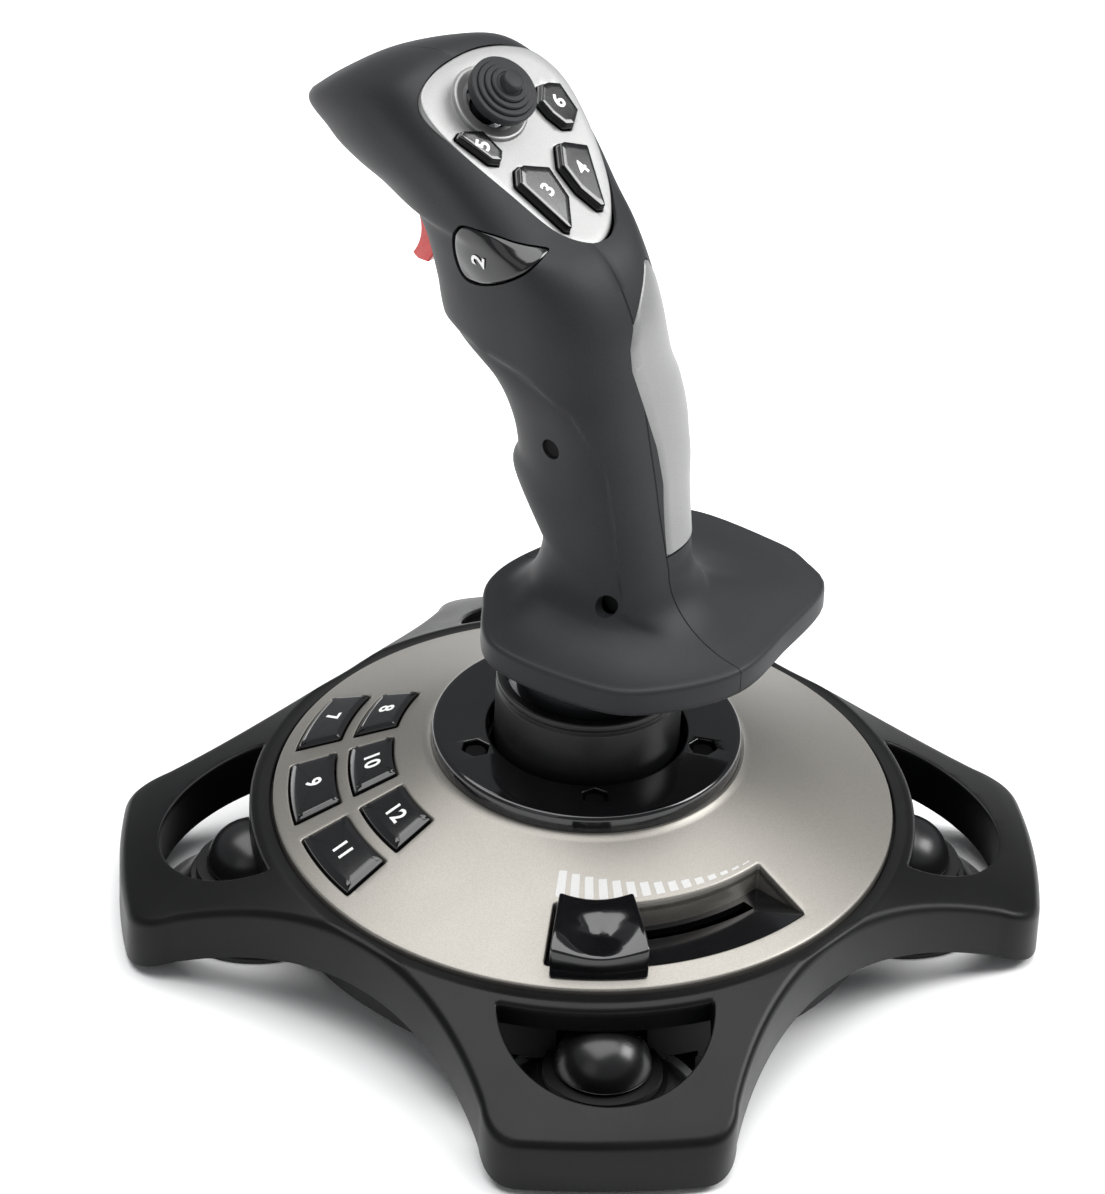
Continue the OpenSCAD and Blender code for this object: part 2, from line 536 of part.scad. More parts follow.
// Place in the side view of each grip screw, and the x of its spacer's seat
screw_at = [[3.5, 147, -13], [-16, 109, -10.4]];
module shell_cuts() {
    on_plate() translate([0, 0, -plate_t]) linear_extrude(30) polygon(plate_outline(1.01));
    on_plate() translate([0, 0, -14]) linear_extrude(20) polygon(plate_outline(0.97));
    translate([-trigger_w / 2 - 0.5, 38, 171]) cube([trigger_w + 1, 32, 21]);
}
module grip_left() {
    color([0.17, 0.17, 0.18]) difference() {
        half_shell(-1);
        shell_cuts();
        side_key(0.4, -40, -8);
        for (p = screw_at) along_x(p[0], p[1]) translate([0, 0, -40]) cylinder(r = 2.75, h = 34);
    }
}
module grip_right() {
    color([0.17, 0.17, 0.18]) difference() {
        half_shell(1);
        shell_cuts();
    }
}
module palm_insert() {
    ni = insert_i1 - insert_i0;
    nj = insert_j1 - insert_j0;
    top = -0.2;
    function at(i, j, d) = level_pt(insert_j0 + j, side_phi(insert_i0 + i, 1), d);
    n1 = ni + 1;
    outer = [for (j = [0:nj]) for (i = [0:ni]) at(i, j, (i == 0 || i == ni || j == 0 || j == nj) ? 0.4 : top)];
    inner = [for (j = [0:nj]) for (i = [0:ni]) at(i, j, insert_d - 0.05)];
    k = n1 * (nj + 1);
    skins = [for (j = [0:nj - 1]) for (i = [0:ni - 1]) let (a = j * n1 + i, b = a + 1, c = a + n1, d = c + 1)
        each [[a, c, b], [b, c, d], [k + a, k + b, k + c], [k + b, k + d, k + c]]];
    edge = concat([for (i = [0:ni - 1]) i], [for (j = [0:nj - 1]) j * n1 + ni],
        [for (i = [ni:-1:1]) nj * n1 + i], [for (j = [nj:-1:1]) j * n1]);
    rim = [for (e = [0:len(edge) - 1]) let (a = edge[e], b = edge[(e + 1) % len(edge)])
        each [[a, b, b + k], [a, b + k, a + k]]];
    color([0.72, 0.72, 0.7]) polyhedron(concat(outer, inner), concat(skins, rim));
}
module thumb_plate() {
    color([0.82, 0.82, 0.82]) on_plate() difference() {
        translate([0, 0, -plate_t + 0.05]) linear_extrude(plate_t) polygon(plate_outline(1));
        for (k = [3:6]) translate([0, 0, -5]) linear_extrude(10) polygon(thumb_key(k, 0.35));
        translate([hat_at[0], hat_at[1], -5]) cylinder(r = 6.5, h = 10);
    }
}
thumb_keys = [[[-5.5, 24.2], [-3.4, 24.6], [3.4, 21], [3.2, 12], [-2.2, 4.4], [-3.4, 5.4], [-8, 20.8]],
    [[10, 24.8], [12, 24.9], [18, 21.2], [11.2, 5.4], [9.4, 6], [7, 12.4], [6.6, 19.8]],
    [[-15.2, 38.2], [-13, 39], [-7.6, 36.6], [-6, 29.6], [-8.4, 27.4], [-11, 28.8]],
    [[16.4, 40], [19, 39.8], [22.3, 38.1], [22.1, 29.8], [18, 26.9], [15.4, 27.9], [13.6, 32.2], [13, 36.4]]];
function mid(pts) = [for (k = [0:1]) let (v = [for (p = pts) p[k]]) (max(v) + min(v)) / 2];
function thumb_key(k, grow) = let (pts = thumb_keys[k - 3], m = mid(pts))
    [for (p = pts) p + grow * (p - m) / norm(p - m) * 1.25];
module thumb_button(k) {
    color([0.05, 0.05, 0.055]) on_plate() {
        translate([0, 0, -4.4]) linear_extrude(4.4 + cap_h) polygon(thumb_key(k, 0));
        translate([0, 0, -4.4]) linear_extrude(1.6) polygon(thumb_key(k, 0.6));
        translate([mid(thumb_keys[k - 3])[0], mid(thumb_keys[k - 3])[1], -7.8]) cylinder(r = 1.6, h = 4);
    }
}
module button_3() { thumb_button(3); }
module button_4() { thumb_button(4); }
module button_5() { thumb_button(5); }
module button_6() { thumb_button(6); }
// A solid slice of the grip's left half, between two levels and grown outwards
module left_slice(j0, j1, grow) {
    m = half_n + 1;
    top = (j1 - j0) * m;
    pts = [for (j = [j0:j1]) for (i = [0:half_n]) level_pt(j, side_phi(i, -1), -grow)];
    skin = [for (j = [0:j1 - j0 - 1]) for (i = [0:half_n - 1]) let (a = j * m + i, b = a + 1)
        each [[a, b, b + m], [a, b + m, a + m]]];
    seam = concat([for (j = [j1 - j0:-1:0]) j * m], [for (j = [0:j1 - j0]) j * m + half_n]);
    polyhedron(pts, concat(skin, [[for (i = [half_n:-1:0]) i]], [[for (i = [0:half_n]) top + i]],
        [[for (k = [len(seam) - 1:-1:0]) seam[k]]]));
}
module button_2() {
    color([0.05, 0.05, 0.055]) {
        intersection() {
            side_key(0, -30, -11);
            left_slice(23, 31, 0.5);
        }
        intersection() {
            side_key(0.7, -12, -11);
            translate([-20, 0, 176]) cube([20, 45, 20]);
        }
        along_x(side_key_mid[0], side_key_mid[1]) translate([0, 0, -11.2]) cylinder(r = 1.8, h = 3);
    }
}
module thumb_board() {
    color([0.1, 0.35, 0.2]) on_plate() {
        translate([-10, 13, -11.4]) cube([27.5, 36, 1.4]);
        for (k = [3:6]) translate([mid(thumb_keys[k - 3])[0], mid(thumb_keys[k - 3])[1], -10])
            cylinder(r = 2.6, h = 0.9);
    }
}
module at_hat() { on_plate() translate([hat_at[0], hat_at[1], 0]) children(); }
module hat_housing() {
    color([0.1, 0.1, 0.11]) at_hat() difference() {
        translate([0, 0, -10]) cylinder(r = 8.4, h = 8);
        translate([0, 0, -8.6]) cylinder(r = 6.2, h = 8);
        along_x(0, hat_pivot_d) translate([0, 0, -10]) cylinder(r = 0.8 + run, h = 20);
    }
}
module hat_pivot() {
    color([0.7, 0.7, 0.68]) at_hat() difference() {
        union() {
            tube(4.3, 5.6, hat_pivot_d - 1.4, hat_pivot_d + 1.4);
            for (s = [0, 180]) rotate([0, 0, s]) along_x(0, hat_pivot_d)
                translate([0, 0, 5]) cylinder(r = 0.8, h = 2.6);
        }
        translate([0, -10, hat_pivot_d]) rotate([-90, 0, 0]) cylinder(r = 0.8 + run, h = 20);
    }
}
module hat_cap() {
    color([0.13, 0.13, 0.14]) at_hat() {
        rotate_extrude() polygon([[0, -7], [2.6, -7], [3.4, -6], [3.4, 3.6], [hat_r - 2, 3.6], [hat_r, 5.2],
            [hat_r, 7.2], [hat_r - 0.9, 8], [hat_r - 1.7, 8], [hat_r - 2.1, 8.8], [hat_r - 3, 8.8],
            [hat_r - 3.4, 9.6], [hat_r - 4.3, 9.6], [hat_r - 4.7, 10.3],
            [3.2, 10.3], [3, 12.4], [2, 13.2], [0, 13.4]]);
        for (s = [90, 270]) rotate([0, 0, s]) along_x(0, hat_pivot_d)
            translate([0, 0, 3]) cylinder(r = 0.8, h = 2.5);
    }
}
module trigger() {
    color([0.8, 0.14, 0.12]) translate([-trigger_w / 2, 0, 0]) rotate([90, 0, 90]) linear_extrude(trigger_w)
        difference() {
            polygon(concat([[41.5, 190.4], [52, 190.4], [56.5, 188.6]],
                [for (t = [0:0.2:1]) bezier([58.6, 186.6], [55, 181], [59.4, 174.2], t)],
                [[57.6, 173], [54.6, 173.4], [51.6, 180], [50, 184], [41.5, 184]]));
            translate(trigger_axis) circle(r = 1 + run);
        }
}
module trigger_pin() {
    color("silver") along_x(trigger_axis[0], trigger_axis[1])
        translate([0, 0, -trigger_w / 2 - 2.6]) cylinder(r = 1, h = trigger_w + 5.2);
}
module trigger_spring() {
    color("silver") translate([0, 47.6, 178]) rotate([90, 0, 0]) coil(1.9, 0.35, -3, 4.6, 5);
}
module trigger_frame() {
    color([0.2, 0.2, 0.22]) difference() {
        union() {
            for (x = [-7.2, 5.4]) translate([x, 37, 184.6]) cube([1.8, 9, 5.8]);
            translate([-7.2, 36, 175]) cube([14.4, 1.3, 15.4]);
            translate([-7.2, 36, 187]) cube([14.4, 4, 3.4]);
        }
        along_x(trigger_axis[0], trigger_axis[1]) translate([0, 0, -20]) cylinder(r = 1, h = 40);
    }
}
module trigger_switch() {
    color([0.1, 0.1, 0.11]) translate([-4, 37.4, 175.6]) cube([8, 5, 6.4]);
}
module grip_core() {
    color([0.2, 0.2, 0.22]) union() {
        tube(shaft_r + run, 8.2, 72, 131.4);
        difference() {
            translate([0, 0, 84]) cylinder(r = 15.8, h = 3);
            translate([0, 0, 83]) cylinder(r = shaft_r + run, h = 5);
        }
    }
}
module twist_spring() { color("silver") coil(10.4, 0.6, 72.2, 83, 6); }
module retaining_clip() {
    color("silver") difference() {
        tube(shaft_r - 0.6, shaft_r + 2, 131.7, 132.7);
        translate([2, -1.5, 130]) cube([9, 3, 4]);
    }
}
module twist_sensor() {
    color([0.15, 0.2, 0.35]) {
        translate([0, 0, 135]) cylinder(r = 7.2, h = 6);
        translate([0, 0, 131]) cylinder(r = 3, h = 4);
    }
}
module grip_spacers() {
    color([0.2, 0.2, 0.22]) for (p = screw_at) along_x(p[0], p[1]) difference() {
        translate([0, 0, p[2]]) cylinder(r = 3.4, h = 11 - p[2]);
        translate([0, 0, -14]) cylinder(r = screw_r + 0.05, h = 30);
    }
}
module grip_screws() {
    color([0.15, 0.15, 0.16]) for (p = screw_at) along_x(p[0], p[1]) {
        translate([0, 0, p[2] - 2]) cylinder(r = 2.5, h = 1.9);
        translate([0, 0, p[2] - 0.5]) cylinder(r = screw_r, h = 11 - p[2]);
    }
}

chassis();
bottom_plate();
top_cover();
collar_ring();
collar_screws();
bottom_screws();
suction_cup_rear_left();
suction_cup_rear_right();
suction_cup_front_left();
suction_cup_front_right();
base_board();
cable_inlet();
button_mat();
button_7();
button_8();
button_9();
button_10();
button_11();
button_12();
throttle_tray();
throttle_knob();
throttle_lever();
gimbal_frame();
gimbal_yoke();
pitch_pins();
roll_pins();
centring_spring();
tilt_sensor();
stick_shaft();
sensor_magnet();
boot();
grip_core();
twist_spring();
retaining_clip();
twist_sensor();
grip_spacers();
grip_screws();
grip_left();
grip_right();
palm_insert();
thumb_plate();
thumb_board();
hat_housing();
hat_pivot();
hat_cap();
button_2();
button_3();
button_4();
button_5();
button_6();
trigger();
trigger_frame();
trigger_pin();
trigger_spring();
trigger_switch();
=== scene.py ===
"""Looks of the desktop flight stick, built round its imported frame. Lengths are in millimetres until
a mesh is made.  +Y is forward, +X is the user's right, +Z is up."""
import json
import math
from collections import namedtuple

import bmesh
import bpy
import numpy as np
from mathutils import Matrix, Vector


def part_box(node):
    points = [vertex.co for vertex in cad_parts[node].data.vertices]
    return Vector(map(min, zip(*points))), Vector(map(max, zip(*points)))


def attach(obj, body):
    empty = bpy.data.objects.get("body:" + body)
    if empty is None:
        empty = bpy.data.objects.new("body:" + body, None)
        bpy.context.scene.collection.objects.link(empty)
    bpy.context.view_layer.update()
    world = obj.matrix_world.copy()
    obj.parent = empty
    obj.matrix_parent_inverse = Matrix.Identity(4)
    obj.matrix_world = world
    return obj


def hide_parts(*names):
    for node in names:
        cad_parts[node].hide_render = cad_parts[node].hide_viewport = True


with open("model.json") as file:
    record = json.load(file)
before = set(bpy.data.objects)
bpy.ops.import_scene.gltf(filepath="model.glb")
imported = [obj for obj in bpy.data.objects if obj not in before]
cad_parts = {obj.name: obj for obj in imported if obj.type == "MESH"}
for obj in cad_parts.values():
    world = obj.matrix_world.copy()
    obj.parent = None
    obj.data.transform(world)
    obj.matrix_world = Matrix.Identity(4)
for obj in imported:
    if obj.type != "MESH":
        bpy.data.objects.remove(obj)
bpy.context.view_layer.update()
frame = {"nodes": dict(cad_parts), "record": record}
MM = 0.001


def low(node):
    """The lowest x, y and z of a CAD piece, in millimetres."""
    return np.array(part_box(node)[0]) / MM


def high(node):
    """The highest x, y and z of a CAD piece, in millimetres."""
    return np.array(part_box(node)[1]) / MM


# ------------------------------------------------------------------ sizes
COVER_R = high("top_cover")[0]
RING_R = high("collar_ring")[0]
RING_Z = low("collar_ring")[2]
RING_TOP = high("collar_ring")[2]
# Silver cover: height of its rim, thickness, and how fast its cone rises towards the middle
COVER_Z = 34.0
COVER_SKIN = 2.4
CONE_RISE = (RING_Z - COVER_Z) / (COVER_R - RING_R)
# Casing: where it starts to fall away, its wall's height and thickness
RIM_R = 84.0
WALL_H = 14.6
WALL = 2.4
# Arms: directions, length from the axis, half-width and fall per mm of length
ARM_DIRS = [45 + 90 * k for k in range(4)]
ARM_LEN = 117.0
ARM_HALF = 31.0
ARM_SLOPE = 0.474
# Waists between the arms: smallest radius, and the radius of their arcs
WAIST_R = 84.3
WAIST_ARC = 108.3
INLET_R, INLET_Z = 4.2, 24.3
# Handle openings: radius and centre of the outer arc, radius of the inner arc, thickness of the lining
# wall, and the height at which that wall ends on the side of the base
LOOP_R, LOOP_U, LOOP_IN = 27.0, 82.0, 86.0
LOOP_WALL = 2.2
LOOP_FLOOR = 25.7
CUP_U = 84.5
# Base keys: direction of the middle column, pitch and width of the columns, radii of the rows, and how
# far their windows reach past these
KEY_DIR, KEY_PITCH, KEY_SPAN = 135.6, 24.4, 19.4
KEY_ROWS = ((63.9, 75.9), (49.3, 60.7))
KEYS = [(column, row) for column in range(3) for row in range(2)]
KEY_WINDOW = 0.12
# Throttle slot: inner and outer radius, first and last direction
SLOT = (58.4, 74.3, -146.5, -90.3)
SLOT_FLOOR = high("throttle_tray")[2]
KNOB_HALF = 9.2
KNOB_DIR = SLOT[2] + KNOB_HALF + 1.2
KNOB_TOP = high("throttle_knob")[2]
# Hex recesses of the collar: directions, distance from the axis, size and depth
HEX_DIRS = [-63 + 72 * k for k in range(5)]
HEX_POS = 30.5
HEX_R = 3.7
HEX_DEPTH = 2.4
PIVOT_Z = 57.0
BOOT_R = high("boot")[0]
BOOT_TOP = high("boot")[2]
NECK_R = 18.5
NECK_Z = low("grip_left")[2]
# Thumb plate: its origin on the middle plane and how far it tilts back
PLATE_AT = np.array([0.0, 8.8, 196.6])
PLATE_TILT = math.radians(37.5)
HAT_AT = (1.0, 42.0)
HAT_R = 9.1
CAP_H = 2.5
SHELL = 2.4
TRIGGER_W = high("trigger")[0] - low("trigger")[0]
SCREW_AT = ((3.5, 147.0), (-16.0, 109.0))
SCREW_HOLE_R = 2.75
# From well below to well above the wall that a window is cut through
THROUGH_COVER = (20, 70)
THROUGH_ARMS = (-4, 50)
THROUGH_PLATE = (-6, 6)
# How far the printed digits stand up
PRINT_H = 0.03


# ------------------------------------------------------------------ curves
def bezier(a, b, c, t):
    """A point on the curve from a to c that is pulled towards b."""
    return (1 - t) ** 2 * a + 2 * t * (1 - t) * b + t * t * c


def spline(a, b, c, d, t):
    """The point between b and c on a smooth curve through a, b, c and d."""
    return 0.5 * (2 * b + (c - a) * t + (2 * a - 5 * b + 4 * c - d) * t ** 2
                  + (3 * b - a - 3 * c + d) * t ** 3)


def closed_curve(points, steps):
    """A smooth closed curve through the points, with some steps between each two."""
    pts = [np.array(p, float) for p in points]
    n = len(pts)
    return np.array([spline(pts[i - 1], pts[i], pts[(i + 1) % n], pts[(i + 2) % n], s / steps)
                     for i in range(n) for s in range(steps)])


def resample(points, count):
    """The same closed outline with evenly spaced points."""
    pts = np.vstack([points, points[:1]])
    run = np.concatenate([[0], np.cumsum(np.linalg.norm(np.diff(pts, axis=0), axis=1))])
    at = np.linspace(0, run[-1], count, endpoint=False)
    return np.stack([np.interp(at, run, pts[:, k]) for k in range(pts.shape[1])], 1)


def rounded(points, radius, steps=5, closed=True):
    """A polyline with each corner turned into a curve; radius is one number or one for each corner."""
    pts = [np.array(p, float) for p in points]
    n = len(pts)
    radii = radius if hasattr(radius, "__len__") else [radius] * n
    out = []
    for i, p in enumerate(pts):
        if not closed and i in (0, n - 1) or radii[i] <= 0:
            out.append(p)
            continue
        a, b = pts[i - 1] - p, pts[(i + 1) % n] - p
        la, lb = np.linalg.norm(a), np.linalg.norm(b)
        turn = math.acos(max(-1, min(1, float(a @ b) / (la * lb))))
        reach = min(radii[i] / max(1e-6, math.tan(turn / 2)), 0.48 * la, 0.48 * lb)
        start, end = p + a / la * reach, p + b / lb * reach
        out += [bezier(start, p, end, s / steps) for s in range(steps + 1)]
    return np.array(out)


def moved_in(outline, by):
    """A closed outline moved inwards (outwards where by is negative) along its own normals."""
    ahead = np.roll(outline, -1, 0) - outline
    ahead /= np.maximum(np.linalg.norm(ahead, axis=1, keepdims=True), 1e-9)
    back = np.roll(ahead, 1, 0)
    t = ahead + back
    t /= np.maximum(np.linalg.norm(t, axis=1, keepdims=True), 1e-9)
    stretch = 1 / np.maximum(0.5, (t * ahead).sum(1, keepdims=True))
    x, y = outline[:, 0], outline[:, 1]
    area = 0.5 * np.sum(x * np.roll(y, -1) - y * np.roll(x, -1))
    side = 1 if area > 0 else -1
    return outline + by * stretch * side * np.stack([-t[:, 1], t[:, 0]], 1)


def fillet(radius, steps=4):
    """(inwards, downwards) steps of a quarter round at the top of a wall."""
    turns = [k / steps * math.pi / 2 for k in range(steps + 1)]
    return [(radius * (1 - math.cos(a)), radius * (1 - math.sin(a))) for a in turns]


def polar(r, degrees):
    """The point at a radius and a direction."""
    a = math.radians(degrees)
    return np.array([r * math.cos(a), r * math.sin(a)])


def turned(points, degrees):
    """Points turned about the origin."""
    a = math.radians(degrees)
    m = np.array([[math.cos(a), math.sin(a)], [-math.sin(a), math.cos(a)]])
    return np.asarray(points) @ m


def arc(r, a0, a1, gap):
    """Points along an arc, about gap apart."""
    steps = max(3, int(math.radians(abs(a1 - a0)) * r / gap))
    return [polar(r, a0 + (a1 - a0) * k / steps) for k in range(steps + 1)]


def sector(r0, r1, a0, a1, corner, count):
    """The outline of a piece of a ring, with rounded corners."""
    gap = 2.2 * corner + 0.4
    outer, inner = arc(r1, a0, a1, gap), arc(r0, a1, a0, gap)
    radii = [0.0] * (len(outer) + len(inner))
    for k in (0, len(outer) - 1, len(outer), -1):
        radii[k] = corner
    return resample(rounded(outer + inner, radii, 5), count)


def circle_outline(at, r, count=48):
    return np.array([np.array(at) + polar(r, 360 * k / count) for k in range(count)])


# ------------------------------------------------------------------ surfaces of the base
def cone_z(r):
    """Height of the silver cover at a radius."""
    return COVER_Z + (RING_Z - COVER_Z) * (COVER_R - r) / (COVER_R - RING_R)


def on_cone(p):
    """Height of the silver cover at points (x, y)."""
    return cone_z(np.linalg.norm(p, axis=1))


def arm_z(r):
    """Height of the casing's upper side at a radius."""
    return COVER_Z - 1 - ARM_SLOPE * (np.maximum(r, RIM_R) - RIM_R)


def on_arms(p):
    """Height of the casing's upper side at points (x, y)."""
    return arm_z(np.linalg.norm(p, axis=1))


def flat(level):
    """A surface of one height, in the form of on_cone and on_arms."""
    return lambda p: np.full(len(p), float(level))


# ------------------------------------------------------------------ meshes
def raw(name, verts, faces, weld=0.002):
    """An object from vertices in millimetres, with doubled vertices merged and normals outwards."""
    mesh = bpy.data.meshes.new(name)
    mesh.from_pydata([tuple(float(c) * MM for c in v) for v in verts], [], faces)
    bm = bmesh.new()
    bm.from_mesh(mesh)
    bmesh.ops.remove_doubles(bm, verts=bm.verts, dist=weld * MM)
    bmesh.ops.recalc_face_normals(bm, faces=bm.faces)
    bm.to_mesh(mesh)
    bm.free()
    obj = bpy.data.objects.new(name, mesh)
    bpy.context.scene.collection.objects.link(obj)
    return obj


def loft(rings, wrap=False, caps=True):
    """Vertices and faces of a surface through closed rings of points with equal counts."""
    n, count = len(rings[0]), len(rings)
    verts = [p for ring in rings for p in ring]
    faces = []
    for r in range(count if wrap else count - 1):
        nxt = (r + 1) % count
        for i in range(n):
            j = (i + 1) % n
            faces.append((r * n + i, r * n + j, nxt * n + j, nxt * n + i))
    if caps and not wrap:
        faces.append(tuple(range(n - 1, -1, -1)))
        faces.append(tuple(range((count - 1) * n, count * n)))
    return verts, faces


def revolve(profile, segments=128, wrap=True):
    """A profile of (radius, height) points turned about the z axis."""
    turns = [2 * math.pi * k / segments for k in range(segments)]
    rings = [[(r * math.cos(a), r * math.sin(a), z) for a in turns] for r, z in profile]
    return loft(rings, wrap=wrap, caps=False)


def with_z(p, z):
    """Points (x, y) with their heights, which are one number or one for each point."""
    return np.column_stack([p, np.broadcast_to(z, (len(p),))])


def prism(outline, floor, ceiling):
    return loft([with_z(outline, floor), with_z(outline, ceiling)])


def block(outline, top, edge, under, rings=6):
    """A solid on a closed outline. top and under give its upper and lower surface, and edge the
    (inwards, downwards) steps of its upper edge from the side up."""
    stack = [with_z(outline, under(outline))]
    for inwards, downwards in edge:
        p = moved_in(outline, inwards) if inwards else outline
        stack.append(with_z(p, top(p) - downwards))
    last = moved_in(outline, edge[-1][0])
    middle = (last.max(0) + last.min(0)) / 2
    for k in range(1, rings + 1):
        p = last + (middle - last) * (k / rings)
        stack.append(with_z(p, top(p)))
    verts, faces = loft(stack, caps=False)
    faces.append(tuple(range(len(outline) - 1, -1, -1)))
    return verts, faces


def window_cutter(outline, surface, round_r, span):
    """What is cut away for a window whose edge is rounded where it meets the surface; span is the
    cutter's lowest and highest height."""
    stack = [with_z(outline, span[0])]
    for inwards, downwards in fillet(round_r, 4):
        p = moved_in(outline, -inwards)
        stack.append(with_z(p, surface(p) - downwards))
    p = moved_in(outline, -round_r - 0.1)
    stack.append(with_z(p, surface(p) + 0.4))
    stack.append(with_z(p, span[1]))
    return loft(stack)


def wall_ring(outline, thickness, top, floor):
    """A thin wall outside a closed outline."""
    outer = moved_in(outline, -thickness)
    return loft([with_z(outline, floor), with_z(outline, top(outline)), with_z(outer, top(outer)),
                 with_z(outer, floor)], wrap=True)


def final_mesh(obj):
    """The mesh of an object with its modifiers applied, or of a text."""
    bpy.context.view_layer.update()
    return bpy.data.meshes.new_from_object(obj.evaluated_get(bpy.context.evaluated_depsgraph_get()))


def cut(obj, cutters):
    """Takes the cutters, which are closed solids, away from a closed mesh."""
    for verts, faces in cutters:
        tool = raw("cutter", verts, faces)
        step = obj.modifiers.new("cut", "BOOLEAN")
        step.operation = "DIFFERENCE"
        step.solver = "MANIFOLD"
        step.object = tool
        result = final_mesh(obj)
        obj.modifiers.clear()
        obj.data = result
        bpy.data.objects.remove(tool)


def sideways(part):
    """Turns a solid drawn on (y, z) with its height along x."""
    return [(v[2], v[0], v[1]) for v in part[0]], part[1]


def moved(part, by):
    return [tuple(np.array(v) + by) for v in part[0]], part[1]


def dress(obj, mat, body, replaces=(), angle=34):
    """Shading, material and place in the frame of a finished piece."""
    obj.data.materials.clear()
    obj.data.materials.append(mat)
    obj.data.shade_smooth()
    obj.data.set_sharp_from_angle(angle=math.radians(angle))
    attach(obj, body)
    if replaces:
        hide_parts(*replaces)


def grown(name, parts):
    """One object from several closed meshes."""
    verts, faces = [], []
    for v, f in parts:
        base = len(verts)
        verts += list(v)
        faces += [tuple(i + base for i in face) for face in f]
    return raw(name, verts, faces)


# ------------------------------------------------------------------ materials
def material(name, colour, roughness, metallic=0.0, specks=(1500, 0.05), patches=(40, 0.04),
             relief=(1800, 0.1, 0.05), coat=0.0, specular=0.5, stretch=(1, 1, 1)):
    """A moulded, painted or metal surface. specks are the colour's fine grain as scale and amount,
    patches the roughness's broad change in the same form, and relief the texture's scale, strength and
    depth in mm."""
    mat = bpy.data.materials.new(name)
    mat.use_nodes = True
    nodes, links = mat.node_tree.nodes, mat.node_tree.links
    shader = nodes["Principled BSDF"]
    shader.inputs["Metallic"].default_value = metallic
    shader.inputs["Coat Weight"].default_value = coat
    shader.inputs["Coat Roughness"].default_value = 0.06
    shader.inputs["Specular IOR Level"].default_value = specular
    where = nodes.new("ShaderNodeTexCoord")
    mapping = nodes.new("ShaderNodeMapping")
    mapping.inputs["Scale"].default_value = stretch
    links.new(where.outputs["Object"], mapping.inputs["Vector"])

    def noise(scale, detail):
        tex = nodes.new("ShaderNodeTexNoise")
        tex.inputs["Scale"].default_value = scale
        tex.inputs["Detail"].default_value = detail
        links.new(mapping.outputs["Vector"], tex.inputs["Vector"])
        return tex.outputs["Fac"]

    ramp = nodes.new("ShaderNodeValToRGB")
    for element, at, sign in zip(ramp.color_ramp.elements, (0.32, 0.68), (-1, 1)):
        element.position = at
        element.color = [min(1, c * (1 + sign * specks[1])) for c in colour] + [1]
    links.new(noise(specks[0], 2), ramp.inputs["Fac"])
    links.new(ramp.outputs["Color"], shader.inputs["Base Color"])
    rough = nodes.new("ShaderNodeMapRange")
    rough.inputs["From Min"].default_value = 0.35
    rough.inputs["From Max"].default_value = 0.65
    rough.inputs["To Min"].default_value = max(0.02, roughness - patches[1])
    rough.inputs["To Max"].default_value = roughness + patches[1]
    links.new(noise(patches[0], 5), rough.inputs["Value"])
    links.new(rough.outputs["Result"], shader.inputs["Roughness"])
    bump = nodes.new("ShaderNodeBump")
    bump.inputs["Strength"].default_value = relief[1]
    bump.inputs["Distance"].default_value = relief[2] * MM
    links.new(noise(relief[0], 3), bump.inputs["Height"])
    links.new(bump.outputs["Normal"], shader.inputs["Normal"])
    return mat


# One material for each material slot of the record, and two for the printed marks
MATS = {
    "chassis_plastic": material("casing black", (0.0035, 0.0035, 0.0038), 0.36, specks=(2600, 0.14),
                                relief=(1500, 0.35, 0.06), specular=0.18),
    "lower_plastic": material("plain black", (0.007, 0.007, 0.0075), 0.55, specular=0.2),
    "silver_cover": material("champagne paint", (0.26, 0.247, 0.224), 0.42, metallic=0.72,
                             specks=(4200, 0.13), patches=(18, 0.03), relief=(3600, 0.12, 0.03)),
    "gloss_black": material("polished black", (0.004, 0.004, 0.0045), 0.12, specks=(900, 0.1),
                            patches=(60, 0.03), relief=(260, 0.03, 0.05), coat=0.3),
    "cup_rubber": material("cup rubber", (0.006, 0.006, 0.0065), 0.3, relief=(500, 0.08, 0.05)),
    "boot_rubber": material("boot rubber", (0.008, 0.008, 0.0085), 0.36, specks=(700, 0.12),
                            relief=(700, 0.25, 0.08), specular=0.36),
    "steel": material("plated steel", (0.56, 0.56, 0.57), 0.32, metallic=1.0, stretch=(1, 1, 9)),
    "black_steel": material("black steel", (0.003, 0.003, 0.0032), 0.6, specular=0.1),
    "cast_zinc": material("cast zinc", (0.42, 0.42, 0.43), 0.5, metallic=1.0, relief=(900, 0.5, 0.1)),
    "board": material("circuit board", (0.02, 0.11, 0.05), 0.4, specks=(420, 0.5)),
    "grip_soft": material("soft-touch grey", (0.019, 0.0195, 0.0215), 0.5, specks=(2400, 0.09),
                          patches=(28, 0.05), relief=(2100, 0.3, 0.05), specular=0.22),
    "plate_silver": material("silver paint", (0.27, 0.27, 0.268), 0.42, metallic=0.6,
                             specks=(4200, 0.08), patches=(30, 0.03), relief=(3600, 0.1, 0.03)),
    "trigger_red": material("trigger red", (0.62, 0.018, 0.014), 0.26, specks=(900, 0.06),
                            coat=0.25),
    "print_white": material("white print", (0.86, 0.86, 0.85), 0.45, specks=(2600, 0.04)),
    "print_grey": material("pale print", (0.55, 0.55, 0.54), 0.5, specks=(2600, 0.05)),
}
for entry in frame["record"]["subparts"]:
    cad = frame["nodes"][entry["node"]]
    cad.data.materials.clear()
    cad.data.materials.append(MATS[entry["material_slot"]])


